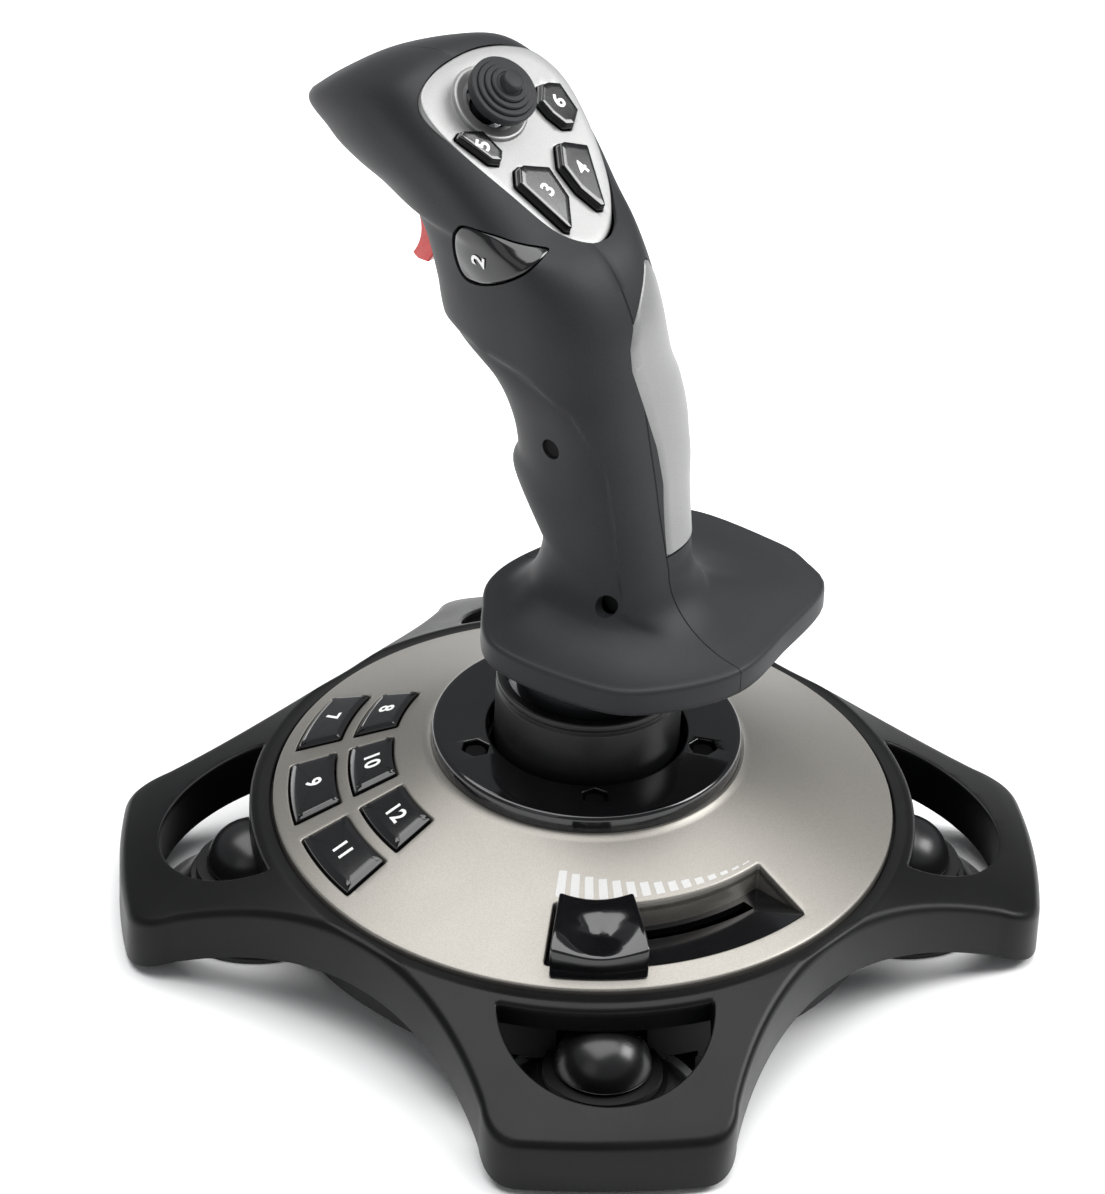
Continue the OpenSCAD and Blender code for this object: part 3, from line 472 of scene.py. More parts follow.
# ------------------------------------------------------------------ casing
def arm_edge():
    """One half of an arm's outline, from the waist to the middle of its end."""
    centre = polar(WAIST_R + WAIST_ARC, -45)
    side = [centre + polar(WAIST_ARC, a) for a in np.linspace(135, 106, 30)]
    corner = np.array([ARM_LEN, -ARM_HALF])
    end = np.array([ARM_LEN + 0.9, -22.0])
    bend = [bezier(side[-1], corner, end, t) for t in np.linspace(0.06, 1, 16)]
    tip = [np.array([ARM_LEN + 2.4 - (v / 18) ** 2, v]) for v in np.linspace(-21, 0, 12)]
    return np.array(side + bend + tip)


def casing_outline():
    """The casing's outline, a hair inside the CAD solid."""
    half = arm_edge()
    arm = np.vstack([half, (half * [1, -1])[-2::-1]])
    whole = np.vstack([turned(arm[:-1], a) for a in ARM_DIRS])
    return moved_in(resample(whole, 640), 0.09)


def handle_outline():
    """The D-shaped opening of a handle, in its arm's own frame."""
    reach = (LOOP_IN ** 2 - LOOP_R ** 2 + LOOP_U ** 2) / (2 * LOOP_U)
    half = math.sqrt(LOOP_IN ** 2 - reach ** 2)
    a = math.degrees(math.atan2(half, reach - LOOP_U))
    b = math.degrees(math.atan2(half, reach))
    outer = [p + [LOOP_U, 0] for p in arc(LOOP_R, -a, a, 1.9)]
    inner = arc(LOOP_IN, b, -b, 2.2)[1:-1]
    radii = [0.0] * (len(outer) + len(inner))
    radii[0] = radii[len(outer) - 1] = 1.0
    return resample(rounded(outer + inner, radii, 5), 180)


def casing_shell():
    """The casing as one closed wall: over the top from the cover's ledge, round the edge and back."""
    outline = casing_outline()
    groove_r, ledge_r, ledge_z = COVER_R + 0.6, COVER_R - 2, COVER_Z - 3
    rim_round, top_round, foot_round = 0.5, 2.0, 0.8
    slope_r = RIM_R + 0.9
    angle = np.arctan2(outline[:, 1], outline[:, 0])
    spoke = np.stack([np.cos(angle), np.sin(angle)], 1)
    shoulder = moved_in(outline, top_round)
    shoulder_r = np.linalg.norm(shoulder, axis=1)

    def circle(r, z):
        return with_z(spoke * r, z)

    rings = [circle(ledge_r, ledge_z - 0.6), circle(ledge_r, ledge_z), circle(groove_r, ledge_z)]
    for inwards, downwards in fillet(rim_round, 3):
        rings.append(circle(groove_r + inwards, arm_z(RIM_R) - downwards))
    for r in (RIM_R - 0.7, RIM_R - 0.25, RIM_R + 0.25, slope_r):
        p = spoke * np.minimum(r, shoulder_r)[:, None]
        rings.append(with_z(p, on_arms(p)))
    start = p
    for k in range(1, 8):
        p = start + (shoulder - start) * k / 8
        rings.append(with_z(p, on_arms(p)))
    for inwards, downwards in reversed(fillet(top_round, 6)):
        p = moved_in(outline, inwards)
        rings.append(with_z(p, on_arms(p) - downwards))
    for inwards, upwards in fillet(foot_round, 3):
        p = moved_in(outline, inwards)
        rings.append(with_z(p, on_arms(p) - WALL_H + upwards))
    inner = moved_in(outline, WALL)
    rings.append(with_z(inner, on_arms(inner) - WALL_H))
    rings.append(with_z(inner, on_arms(inner) - WALL))
    roof = np.minimum(np.linalg.norm(inner, axis=1), slope_r)
    rings.append(with_z(spoke * roof[:, None], arm_z(roof) - WALL))
    rings.append(circle(COVER_R + 1.2, arm_z(RIM_R) - WALL - 0.6))
    return raw("casing", *loft(rings, wrap=True))


def handle_wall(way):
    """The wall that lines a handle opening; it stops higher on the side of the base."""
    outer = moved_in(way, -LOOP_WALL)
    near = np.linalg.norm(way, axis=1) < LOOP_IN + 0.6
    floor, outer_floor = (np.where(near, LOOP_FLOOR, on_arms(p) - WALL_H) for p in (way, outer))
    up, outer_up = (on_arms(p) - WALL + 0.1 for p in (way, outer))
    return loft([with_z(way, floor), with_z(way, up), with_z(outer, outer_up),
                 with_z(outer, outer_floor)], wrap=True)


def casing():
    shell = casing_shell()
    ways = [turned(handle_outline(), a) for a in ARM_DIRS]
    cut(shell, [window_cutter(way, on_arms, 0.9, THROUGH_ARMS) for way in ways])
    bore, faces = prism(circle_outline((0, 0), INLET_R), WAIST_R - 8, WAIST_R + 4)
    cut(shell, [([(v[0], v[2], v[1] + INLET_Z) for v in bore], faces)])
    dress(shell, MATS["chassis_plastic"], "base", ["chassis"])
    walls = grown("handle_walls", [handle_wall(way) for way in ways])
    dress(walls, MATS["chassis_plastic"], "base")


# ------------------------------------------------------------------ silver cover
def key_outline(column, row, grow, corner=0.5):
    """The outline of a base key, grown by some millimetres all round."""
    r0, r1 = KEY_ROWS[row]
    middle = KEY_DIR + (column - 1) * KEY_PITCH
    half = KEY_SPAN / 2 + math.degrees(grow / r0)
    return sector(r0 - grow, r1 + grow, middle - half, middle + half, corner, 120)


def cover():
    bore_r, rim_r, foot_z = 27.6, COVER_R - 1.4, COVER_Z - 2.9
    top = [(bore_r, RING_Z), (RING_R + 0.6, RING_Z)]
    slope = [(r, cone_z(r)) for r in np.linspace(RING_R + 1, rim_r, 26)]
    rim = rounded([(rim_r, cone_z(rim_r)), (COVER_R, COVER_Z), (COVER_R, foot_z), (COVER_R - 1.6, foot_z)],
                  [0, 0.9, 0.3, 0], 5, closed=False)
    under = [(RING_R, RING_Z - COVER_SKIN), (bore_r, RING_Z - COVER_SKIN)]
    profile = top + slope[:-1] + [tuple(p) for p in rim] + under
    skin = raw("silver_cover", *revolve(profile, 256))
    key_ways = [key_outline(column, row, KEY_WINDOW) for column, row in KEYS]
    slot_way = sector(*SLOT, 0.7, 260)
    cut(skin, [window_cutter(way, on_cone, 0.45, THROUGH_COVER) for way in key_ways])
    cut(skin, [window_cutter(slot_way, on_cone, 0.5, THROUGH_COVER)])
    dress(skin, MATS["silver_cover"], "base", ["top_cover"])

    sunk, key_wall_z = 1.6, 30.6
    walls = [wall_ring(slot_way, 1.1, lambda p: np.minimum(on_cone(p) - sunk, COVER_Z + 10),
                       SLOT_FLOOR - sunk)]
    walls += [wall_ring(way, 0.9, lambda p: on_cone(p) - sunk, key_wall_z) for way in key_ways]
    dress(grown("cover_window_walls", walls), MATS["silver_cover"], "base")


def collar():
    bore_r = 25.6
    edge = rounded([(bore_r, RING_Z), (RING_R, RING_Z), (RING_R - 0.4, RING_TOP), (bore_r, RING_TOP)],
                   [0, 0.3, 1.5, 0.9], 6)
    ring = raw("collar", *revolve([tuple(p) for p in edge], 192))
    for a in HEX_DIRS:
        at = polar(HEX_POS, a)
        corners = np.array([at + polar(HEX_R, a + 60 * k) for k in range(6)])
        way = resample(rounded(corners, 0.5, 4), 72)
        cut(ring, [window_cutter(way, flat(RING_TOP), 0.35, (RING_TOP - HEX_DEPTH, THROUGH_COVER[1]))])
    dress(ring, MATS["gloss_black"], "base", ["collar_ring"])


# ------------------------------------------------------------------ printed marks
def digits(name, label, size, matrix, body):
    """A white printed number; matrix places it."""
    text = bpy.data.curves.new(name + "_text", "FONT")
    text.body = label
    text.size = size * MM
    text.align_x = "CENTER"
    text.align_y = "CENTER"
    text.offset = 0.022 * size * MM
    text.extrude = PRINT_H * MM
    text.space_character = 1.05
    holder = bpy.data.objects.new(name + "_holder", text)
    bpy.context.scene.collection.objects.link(holder)
    mesh = final_mesh(holder)
    bpy.data.objects.remove(holder)
    mesh.transform(matrix)
    obj = bpy.data.objects.new(name, mesh)
    bpy.context.scene.collection.objects.link(obj)
    dress(obj, MATS["print_white"], body)


def basis(at, x_axis, y_axis):
    """The matrix of a flat mark whose middle, right and up directions are given, in millimetres."""
    x, y = Vector(x_axis).normalized(), Vector(y_axis).normalized()
    m = Matrix((x, y, x.cross(y))).transposed().to_4x4()
    m.translation = Vector(at) * MM
    return m


def base_keys():
    edge = [(0, 2.2), (0, 0.95), (0.12, 0.72), (1.15, 0.14), (1.35, 0.03), (1.6, 0)]
    proud, digit_up, skirt = 1.15, 1.2, 4
    for column, row in KEYS:
        number = 7 + 2 * column + row
        name = f"button_{number}"
        way = key_outline(column, row, -0.4, 0.3)
        key = raw(f"key_{number}", *block(way, lambda p: on_cone(p) + proud, edge,
                                          lambda p: on_cone(p) - skirt))
        dress(key, MATS["gloss_black"], name, [name], angle=24)
        r = sum(KEY_ROWS[row]) / 2
        out_x, out_y = polar(1, KEY_DIR + (column - 1) * KEY_PITCH)
        at = (r * out_x, r * out_y, cone_z(r) + digit_up)
        place = basis(at, (-out_y, out_x, 0), (-out_x, -out_y, CONE_RISE))
        digits(f"digit_{number}", str(number), 6.0, place, name)


def scale_bars():
    """The printed scale beside the throttle slot: bars that get shorter towards its end."""
    count, first, last = 15, SLOT[2] + 1.2, SLOT[3] - 3.0
    outer, half = SLOT[0] - 1.5, 1.15
    longest, shortest = 6.6, 0.25
    parts = []
    for k in range(count):
        share = k / (count - 1)
        a = first + (last - first) * share
        inner = outer - (longest * (1 - share) ** 1.25 + shortest)
        way = resample(np.array([polar(inner, a + half), polar(outer, a + half), polar(outer, a - half),
                                 polar(inner, a - half)]), 24)
        parts.append(loft([with_z(way, on_cone(way) - 0.05), with_z(way, on_cone(way) + 0.04)]))
    dress(grown("throttle_scale", parts), MATS["print_grey"], "base")


# ------------------------------------------------------------------ throttle knob
def knob():
    """The throttle knob, drawn on the x axis and turned to its place: a thumb dish that falls outwards."""
    outline = sector(57.6, 77.8, -KNOB_HALF, KNOB_HALF, 0.8, 160)
    middle, half_length, half_width = 68.0, 10.2, 10.4

    def top(p):
        along = (p[:, 0] - middle) / half_length
        across = p[:, 1] / half_width
        dish = 4.6 * np.exp(-((along - 0.15) ** 2 * 1.5 + across ** 2 * 1.35))
        saddle = 1.5 * (1 - across ** 2) * np.clip(-along, 0, 1) ** 2
        fall = 3.1 * np.clip(along + 0.15, 0, 2) ** 2
        return KNOB_TOP - 0.1 - dish - saddle - fall

    edge = [(0, 6.0)] + fillet(0.55, 4)
    verts, faces = block(outline, top, edge, lambda p: on_cone(p) + 0.65, rings=16)
    turn = Matrix.Rotation(math.radians(KNOB_DIR), 3, "Z")
    cap = [tuple(turn @ Vector(v)) for v in verts], faces
    stem = prism(sector(60.8, 63.2, KNOB_DIR - 2.2, KNOB_DIR + 2.2, 0, 60), 33, cone_z(62) + 1.2)
    dress(grown("knob", [cap, stem]), MATS["gloss_black"], "throttle",
          ["throttle_knob"], angle=40)


# ------------------------------------------------------------------ cups, boot, inlet
def cups():
    """Suction cups: a skirt on the desk, a neck and a round head, all turned about one axis."""
    head, lug = 12.3, 13.3
    outside = rounded([(25, 0), (25, 1.2), (21.5, 4.6), (18, 8.6), (16.4, 10.5), (7.5, 10.5),
                       (7.5, lug + 0.1), (head - 0.9, lug + 0.1), (head, lug + 1.2)],
                      [0, 0.3, 1.5, 2, 0.4, 0, 0, 0.3, 0.5], 4, closed=False)
    dome = [(head * math.cos(a) ** 0.9, lug + (head - 0.4) * math.sin(a))
            for a in np.radians(np.linspace(6, 88, 18))]
    under = [(0, 5.5), (8, 4.6), (16, 2.4), (22, 0)]
    profile = under + [tuple(p) for p in outside] + dome + [(0, lug + head - 0.4)]
    part = revolve(profile, 96, wrap=False)
    for name, a in zip(("front_right", "front_left", "rear_left", "rear_right"), ARM_DIRS):
        cup = raw(f"cup_{name}", *moved(part, (*polar(CUP_U, a), 0)))
        dress(cup, MATS["cup_rubber"], "base", [f"suction_cup_{name}"])


def boot():
    """The boot of the neck: a short zone of a ball round the pivot below a straight, grooved sleeve."""
    r, inner = BOOT_R, BOOT_R - 2.5

    def ball(radius, start, end):
        return [(radius * math.cos(a), PIVOT_Z + radius * math.sin(a))
                for a in np.radians(np.linspace(start, end, 8))]

    lip = rounded([(r, PIVOT_Z), (r, BOOT_TOP - 3.6), (r - 0.5, BOOT_TOP - 2.7), (r, BOOT_TOP - 1.8),
                   (r, BOOT_TOP), (r - 2.6, BOOT_TOP), (r - 3.2, 69.3), (inner, 69.1),
                   (inner, PIVOT_Z + 3)], [0, 0.4, 0.4, 0.4, 1.0, 0.9, 0.3, 0, 0], 5, closed=False)
    profile = ball(r, -15, -1) + [tuple(p) for p in lip] + ball(r - 1.9, 0, -15)
    dress(raw("neck_boot", *revolve(profile, 160)), MATS["boot_rubber"], "stick", ["boot"])


# ------------------------------------------------------------------ grip
# A cross-section of the grip: y and z of its back and front, half-widths, share of the way to the front
# where it is widest, and roundness of its back and front (2 is an ellipse, more is squarer)
Section = namedtuple("Section", "back_y back_z front_y front_z left right widest back_n front_n")
# Sections from the hand rest over the head to the nose
GRIP_ROWS = np.array([
    [-23.5, 116, 13, 116, 16, 17, .48, 2.8, 2.6],
    [-19.5, 131, 24, 131.5, 16.5, 21, .45, 2.8, 2.6],
    [-17.5, 140, 22.5, 139.5, 17, 23, .45, 2.8, 2.6],
    [-15, 150, 25, 149, 17.5, 24, .45, 2.8, 2.6],
    [-12.8, 159.5, 31.5, 157.5, 18.5, 23, .42, 2.8, 2.6],
    [-11.2, 167, 46, 166, 19, 21.5, .40, 2.8, 2.6],
    [-8.2, 180, 50, 178.5, 20, 20, .38, 2.8, 2.6],
    [-2.5, 190.5, 54.5, 188.5, 20.5, 20, .36, 3, 2.4],
    [4, 197, 60.5, 194.5, 20.5, 21.5, .34, 3.2, 2.2],
    [13, 201.5, 66, 195.5, 21, 24.5, .32, 3.6, 2.1],
    [24, 210, 72, 196.5, 21.5, 27.5, .32, 4, 2],
    [34, 218, 78, 197.5, 22, 29.5, .34, 4, 2],
    [44, 225.5, 84, 199, 21.5, 29, .36, 3.6, 2],
    [53, 231, 89, 200.5, 19, 25, .40, 3, 2],
    [63, 230, 93.5, 201.5, 15.5, 19, .45, 2.4, 2],
    [76, 224, 96.8, 202.3, 11, 12, .50, 2.1, 2],
    [88.5, 214.5, 98.8, 203, 6, 6, .50, 2, 2],
    [99, 204.8, 99.8, 203.2, 1, 1, .50, 2, 2]])
# Hand rest: lower and upper height, roundings of its neck, lower and upper edge, middle and outline
GUARD_Z, GUARD_TOP = 90.4, 98.5
NECK_TOP, NECK_ROUND = GUARD_Z - 1.8, 1.6
RIM_ROUND, TOP_ROUND = 1.9, 1.6
GUARD_MID = np.array([0.0, -8.0])
GUARD = closed_curve([[0, -48.4], [22, -45], [43.3, -39.8], [49.5, -29], [51, -18], [46.4, 8], [30, 18],
                      [4.8, 24.2], [-11, 24.2], [-21.9, 18.2], [-35.4, 2.5], [-31.2, -27.1],
                      [-20.3, -40.2]], 24) - GUARD_MID
GUARD_ANGLE = np.degrees(np.arctan2(GUARD[:, 1], GUARD[:, 0]))
GUARD_ORDER = np.argsort(GUARD_ANGLE)
GUARD_ANGLE, GUARD_REACH = GUARD_ANGLE[GUARD_ORDER], np.linalg.norm(GUARD, axis=1)[GUARD_ORDER]
# The line where the rounded back of the grip meets the set-in finger side, as (y, z), how far that side
# is set in, and over what distances it gets there from the crease, the middle plane and the hand rest
CREASE = np.array([[70, 170], [24, 168], [12, 167], [-4, 161], [-13, 146], [-18, 121], [-21, 109],
                   [-40, 98.5], [-60, 96]], float)
STEP_IN = 1.6
STEP_WIDTH, STEP_MIDDLE, STEP_RISE = 1.9, 5, 6
SEAM = 0.3


def section(u):
    """The section at a place between two rows, u counting the rows from the hand rest."""
    last = len(GRIP_ROWS) - 1
    i = min(int(u), last - 1)
    rows = [GRIP_ROWS[max(0, min(last, i + k))] for k in (-1, 0, 1, 2)]
    return Section(*spline(*rows, u - i))


def on_seam(phi):
    """True on the middle plane, where x has to be exactly 0."""
    return abs(math.cos(math.radians(phi))) < 1e-9


def grip_pt(u, phi, inset):
    """A point of the section at row u; phi is -90 at the back, 0 right, 90 front, 180 left."""
    k = section(u)
    d = np.array([k.front_y - k.back_y, k.front_z - k.back_z])
    length = float(np.linalg.norm(d))
    d /= length
    c, s = math.cos(math.radians(phi)), math.sin(math.radians(phi))
    n = k.back_n if s < 0 else k.front_n
    thin = min(inset, 0.45 * min(k.left, k.right, k.widest * length, (1 - k.widest) * length))
    a = (k.right if c >= 0 else k.left) - thin
    b = (k.widest if s < 0 else 1 - k.widest) * length - thin
    q = b * math.copysign(abs(s) ** (2 / n), s) + k.widest * length
    x = 0.0 if on_seam(phi) else a * math.copysign(abs(c) ** (2 / n), c)
    return np.array([x, k.back_y + d[0] * q, k.back_z + d[1] * q])


def guard_pt(phi, inset, z):
    """A point of the hand rest's outline at a height."""
    wrapped = (phi + 180) % 360 - 180
    reach = np.interp(wrapped, GUARD_ANGLE, GUARD_REACH, period=360) - inset
    p = GUARD_MID + polar(reach, phi)
    return np.array([0.0 if on_seam(phi) else p[0], p[1], z])


def neck_pt(phi, r, z):
    p = polar(r, phi)
    return np.array([0.0 if on_seam(phi) else p[0], p[1], z])


def flare_pt(s, phi, inset):
    """A point between the hand rest, at s 0, and the first section, at s 1."""
    level = GUARD_TOP - inset * (1 - s)
    g = guard_pt(phi, inset + TOP_ROUND, level)
    t = grip_pt(0, phi, inset)
    z = level + (t[2] - level) * (1 - math.sqrt(max(0.0, 1 - s * s)))
    return np.array([g[0] + (t[0] - g[0]) * s, g[1] + (t[1] - g[1]) * s, z])


def stepped_in(p):
    """A point of the grip's surface, set in where it lies on the finger side of the crease."""
    y, z = p[1], p[2]
    best, side = 1e9, 1
    for a, b in zip(CREASE[:-1], CREASE[1:]):
        e = b - a
        t = max(0.0, min(1.0, ((y - a[0]) * e[0] + (z - a[1]) * e[1]) / float(e @ e)))
        off = np.array([y, z]) - (a + t * e)
        d = float(np.linalg.norm(off))
        if d < best:
            best, side = d, (1 if e[0] * off[1] - e[1] * off[0] > 0 else -1)
    if side < 0:
        return p
    t = min(1.0, best / STEP_WIDTH)
    amount = STEP_IN * t * t * (3 - 2 * t) * min(1.0, abs(p[0]) / STEP_MIDDLE)
    low_fade = max(0.0, min(1.0, (z - GUARD_TOP) / STEP_RISE))
    return np.array([p[0] - math.copysign(amount * low_fade, p[0]), y, z])


def levels():
    """The rings of the grip from the neck upwards, each a function of (phi, inset)."""
    out = [lambda phi, d: neck_pt(phi, NECK_R - d, NECK_Z),
           lambda phi, d: neck_pt(phi, NECK_R - d, NECK_TOP + d)]
    for k in range(1, 4):
        a = k / 3 * math.pi / 2
        out.append(lambda phi, d, a=a: neck_pt(phi, NECK_R - d + NECK_ROUND * (1 - math.cos(a)),
                                               NECK_TOP + NECK_ROUND * math.sin(a) + d))
    for share in (0.35, 0.7):
        out.append(lambda phi, d, s=share: neck_pt(phi, NECK_R, GUARD_Z + d) * (1 - s)
                   + guard_pt(phi, RIM_ROUND + d, GUARD_Z + d) * s)
    for inwards, upwards in reversed(fillet(RIM_ROUND, 5)):
        out.append(lambda phi, d, i=inwards, w=upwards: guard_pt(phi, i + d, GUARD_Z + w + 0.5 * d))
    for inwards, downwards in fillet(TOP_ROUND, 5):
        out.append(lambda phi, d, i=inwards, w=downwards: guard_pt(phi, i + d, GUARD_TOP - w - d))
    for s in np.linspace(0.06, 0.99, 26):
        out.append(lambda phi, d, s=s: stepped_in(flare_pt(s, phi, d)))
    for u in np.arange(0, len(GRIP_ROWS) - 1 + 1e-6, 0.125):
        out.append(lambda phi, d, u=u: stepped_in(grip_pt(u, phi, d)))
    return out


def half_shell(name, side):
    """One half of the grip as a closed wall, -1 left and 1 right, slightly open along the seam."""
    turns = [-90.0, -89.84] + list(np.linspace(-90, 90, 61)[1:-1]) + [89.84, 90.0]
    inner_turns = np.linspace(90, -90, 25)
    rings = []
    for level in levels():
        outer = [level(-90 + side * (t + 90), SEAM if abs(t) == 90 else 0.0) for t in turns]
        inner = [level(-90 + side * (t + 90), SHELL) for t in inner_turns]
        rings.append(outer + inner)
    return raw(name, *loft(rings), weld=0.0005)


# Outlines of the thumb plate and its keys on the plate, and of the side key as (y, z)
PLATE_PTS = [[0, 56.2], [-9, 55], [-16, 51.3], [-18, 44], [-15.1, 31.6], [-11, 19.3], [-6.2, 6.5], [-1, 0],
             [4.5, -1.4], [9.5, 0.2], [14.2, 4.6], [19.6, 12.8], [24.3, 25.5], [26.4, 38.5], [23.6, 47.8],
             [17.6, 52.6], [9, 55.6]]
SIDE_KEY_PTS = [[10.2, 197.7], [10.3, 199], [11.8, 199.8], [16.7, 201.3], [21.9, 202.4], [29.5, 201.9],
                [32.4, 199.4], [34.1, 195.6], [33.8, 191.4], [31.9, 187.7], [28.9, 186.4], [23.5, 187.8],
                [17.3, 191.2], [12.1, 195.2]]
SIDE_DIGIT = (24.4, 194.5)
THUMB_KEYS = {
    3: [[-5.5, 24.2], [-3.4, 24.6], [3.4, 21], [3.2, 12], [-2.2, 4.4], [-3.4, 5.4], [-8, 20.8]],
    4: [[10, 24.8], [12, 24.9], [18, 21.2], [11.2, 5.4], [9.4, 6], [7, 12.4], [6.6, 19.8]],
    5: [[-15.2, 38.2], [-13, 39], [-7.6, 36.6], [-6, 29.6], [-8.4, 27.4], [-11, 28.8]],
    6: [[16.4, 40], [19, 39.8], [22.3, 38.1], [22.1, 29.8], [18, 26.9], [15.4, 27.9], [13.6, 32.2],
        [13, 36.4]]}
# Place of each thumb key's digit on the plate, and how far it leans from upright
THUMB_DIGITS = {3: ((-1.6, 16), 22), 4: ((11.6, 16.6), 20), 5: ((-10.6, 33.2), 42), 6: ((18, 34), 20)}
PLATE = resample(closed_curve(PLATE_PTS, 12), 260)
ON_PLATE = Matrix.Translation(Vector(PLATE_AT)) @ Matrix.Rotation(PLATE_TILT, 4, "X")


def to_plate(part):
    """Turns a solid drawn on the thumb plate into place."""
    return [tuple(ON_PLATE @ Vector(v)) for v in part[0]], part[1]


def scaled(matrix):
    """The same placing for a mesh that is already in metres."""
    out = matrix.copy()
    out.translation = matrix.translation * MM
    return out


# Palm insert: lowest and highest point, direction of its right edge, the shares of its height where the
# tip starts and how long it is, and its left edge as (z, x)
INSERT_Z = (119.6, 191.0)
INSERT_RIGHT = -14
TIP_START, TIP_SHARE = 0.8, 0.2
INSERT_LEFT = np.array([[119.6, 0.5], [126, 1.2], [138, 3], [148, 2.6], [160, 0], [170, -2.6], [176, -2.4],
                        [181, 0.2], [186, 5.5], [191, 11.6]])
INSERT_ROWS = np.arange(0, 12, 0.05)
INSERT_BACK_Z = [section(u).back_z for u in INSERT_ROWS]


def insert_patch(grow, edge_in, face_in, floor_in):
    """The palm insert as a closed solid on the grip's surface, grown by some millimetres all round."""
    z0, z1 = INSERT_Z[0] - grow, INSERT_Z[1] + grow
    across = [0, 0.02, 0.05] + list(np.linspace(0.1, 0.9, 22)) + [0.95, 0.98, 1]
    upwards = [0, 0.006, 0.014] + list(np.linspace(0.03, 0.97, 72)) + [0.986, 0.994, 1]

    def point(t, s, inset):
        z = z0 + (z1 - z0) * t
        u = float(np.interp(z, INSERT_BACK_Z, INSERT_ROWS))
        k = section(u)
        x = float(np.interp(z, INSERT_LEFT[:, 0], INSERT_LEFT[:, 1])) - grow
        half_width = k.right if x >= 0 else k.left
        reach = math.degrees(math.acos(min(1.0, (abs(x) / half_width)) ** (k.back_n / 2)))
        left = -reach if x >= 0 else -180 + reach
        tip = max(0.0, (t - TIP_START) / TIP_SHARE)
        right = INSERT_RIGHT + math.degrees(grow / 22) + tip ** 1.6 * (20 + left)
        right = max(right, left + 4)
        phi = left + (right - left) * s
        return stepped_in(grip_pt(u, phi, inset))

    rings = []
    for t in upwards:
        outer = [point(t, s, edge_in if t in (0, 1) or s in (0, 1) else face_in) for s in across]
        inner = [point(t, s, floor_in) for s in reversed(across)]
        rings.append(outer + inner)
    verts, faces = loft(rings, caps=False)
    n = len(rings[0])
    for base, flip in ((0, False), ((len(rings) - 1) * n, True)):
        for i in range(len(across) - 1):
            quad = (base + i, base + i + 1, base + n - 2 - i, base + n - 1 - i)
            faces.append(quad if flip else quad[::-1])
    return verts, faces


def grip():
    pocket = to_plate(prism(moved_in(PLATE, -0.22), -2.1, 30))
    hollow = to_plate(prism(moved_in(PLATE, 1.4), -14, 2))
    slot = resample(rounded([(38, 171), (70, 171), (70, 192), (38, 192)], 1.2, 4), 80)
    half = TRIGGER_W / 2 + 0.5
    ways = [pocket, hollow, sideways(prism(slot, -half, half)), insert_patch(0.28, -3, -3, 1.7)]
    side_way = moved_in(resample(closed_curve(SIDE_KEY_PTS, 10), 160), -0.45)
    left_ways = [sideways(prism(side_way, -40, -8))]
    left_ways += [sideways(prism(circle_outline(at, SCREW_HOLE_R), -40, -6)) for at in SCREW_AT]
    for name, side, more in (("left", -1, left_ways), ("right", 1, [])):
        shell = half_shell(f"grip_shell_{name}", side)
        cut(shell, ways + more)
        dress(shell, MATS["grip_soft"], "grip", [f"grip_{name}"])
    insert = raw("palm_inlay", *insert_patch(0.0, 0.35, -0.22, 1.5))
    dress(insert, MATS["plate_silver"], "grip", ["palm_insert"])


def thumb_outline(k, grow):
    """The outline of a thumb key, grown by some millimetres all round."""
    corners = moved_in(np.array(THUMB_KEYS[k], float), -grow)
    return resample(rounded(corners, 0.7, 4), 110)


def thumb_panel():
    top = flat(0.05)
    panel = raw("thumb_panel", *block(PLATE, top, fillet(0.5, 4), flat(-1.95), rings=10))
    cut(panel, [window_cutter(thumb_outline(k, 0.3), top, 0.2, THROUGH_PLATE) for k in THUMB_KEYS])
    cut(panel, [window_cutter(circle_outline(HAT_AT, 6.5, 64), top, 0.5, THROUGH_PLATE)])
    panel.data.transform(scaled(ON_PLATE))
    dress(panel, MATS["plate_silver"], "grip", ["thumb_plate"])
    seat = rounded([(6.6, 0.0), (10.6, 0.0), (10.2, 1.0), (9.6, 1.1), (7.6, 0.2), (6.6, 0.2)],
                   [0, 0.1, 0.4, 0.3, 0.5, 0], 4)
    ring = moved(revolve([tuple(p) for p in seat], 96), (*HAT_AT, 0))
    dress(raw("hat_seat_ring", *to_plate(ring)), MATS["plate_silver"], "grip")


def thumb_keys():
    edge = [(0, 3.2), (0, 1.5), (0.28, 1.38), (0.28, 0.42), (0.36, 0.2), (0.6, 0.04), (0.85, 0)]
    turn = ON_PLATE.to_3x3()
    for k, (at, lean) in THUMB_DIGITS.items():
        name = f"button_{k}"
        key = raw(f"key_{k}", *to_plate(block(thumb_outline(k, 0), flat(CAP_H), edge, flat(-4.4))))
        dress(key, MATS["gloss_black"], name, [name], angle=24)
        x, y = (turn @ Vector((*polar(1, a), 0)) for a in (lean, lean + 90))
        spot = ON_PLATE @ Vector((*at, CAP_H + PRINT_H))
        digits(f"digit_{k}", str(k), 5.4, basis(spot, x, y), name)


def left_x(y, z):
    """How far left the grip's surface lies at a place of its side view."""
    below, above = 4.0, 13.0
    for _ in range(24):
        u = (below + above) / 2
        k = section(u)
        if (k.front_y - k.back_y) * (z - k.back_z) > (k.front_z - k.back_z) * (y - k.back_y):
            below = u
        else:
            above = u
    d = np.array([k.front_y - k.back_y, k.front_z - k.back_z])
    length = float(np.linalg.norm(d))
    q = float(np.array([y - k.back_y, z - k.back_z]) @ d) / length - k.widest * length
    n, reach = (k.back_n, k.widest * length) if q < 0 else (k.front_n, (1 - k.widest) * length)
    return k.left * max(0.0, 1 - min(1.0, abs(q) / reach) ** n) ** (1 / n)


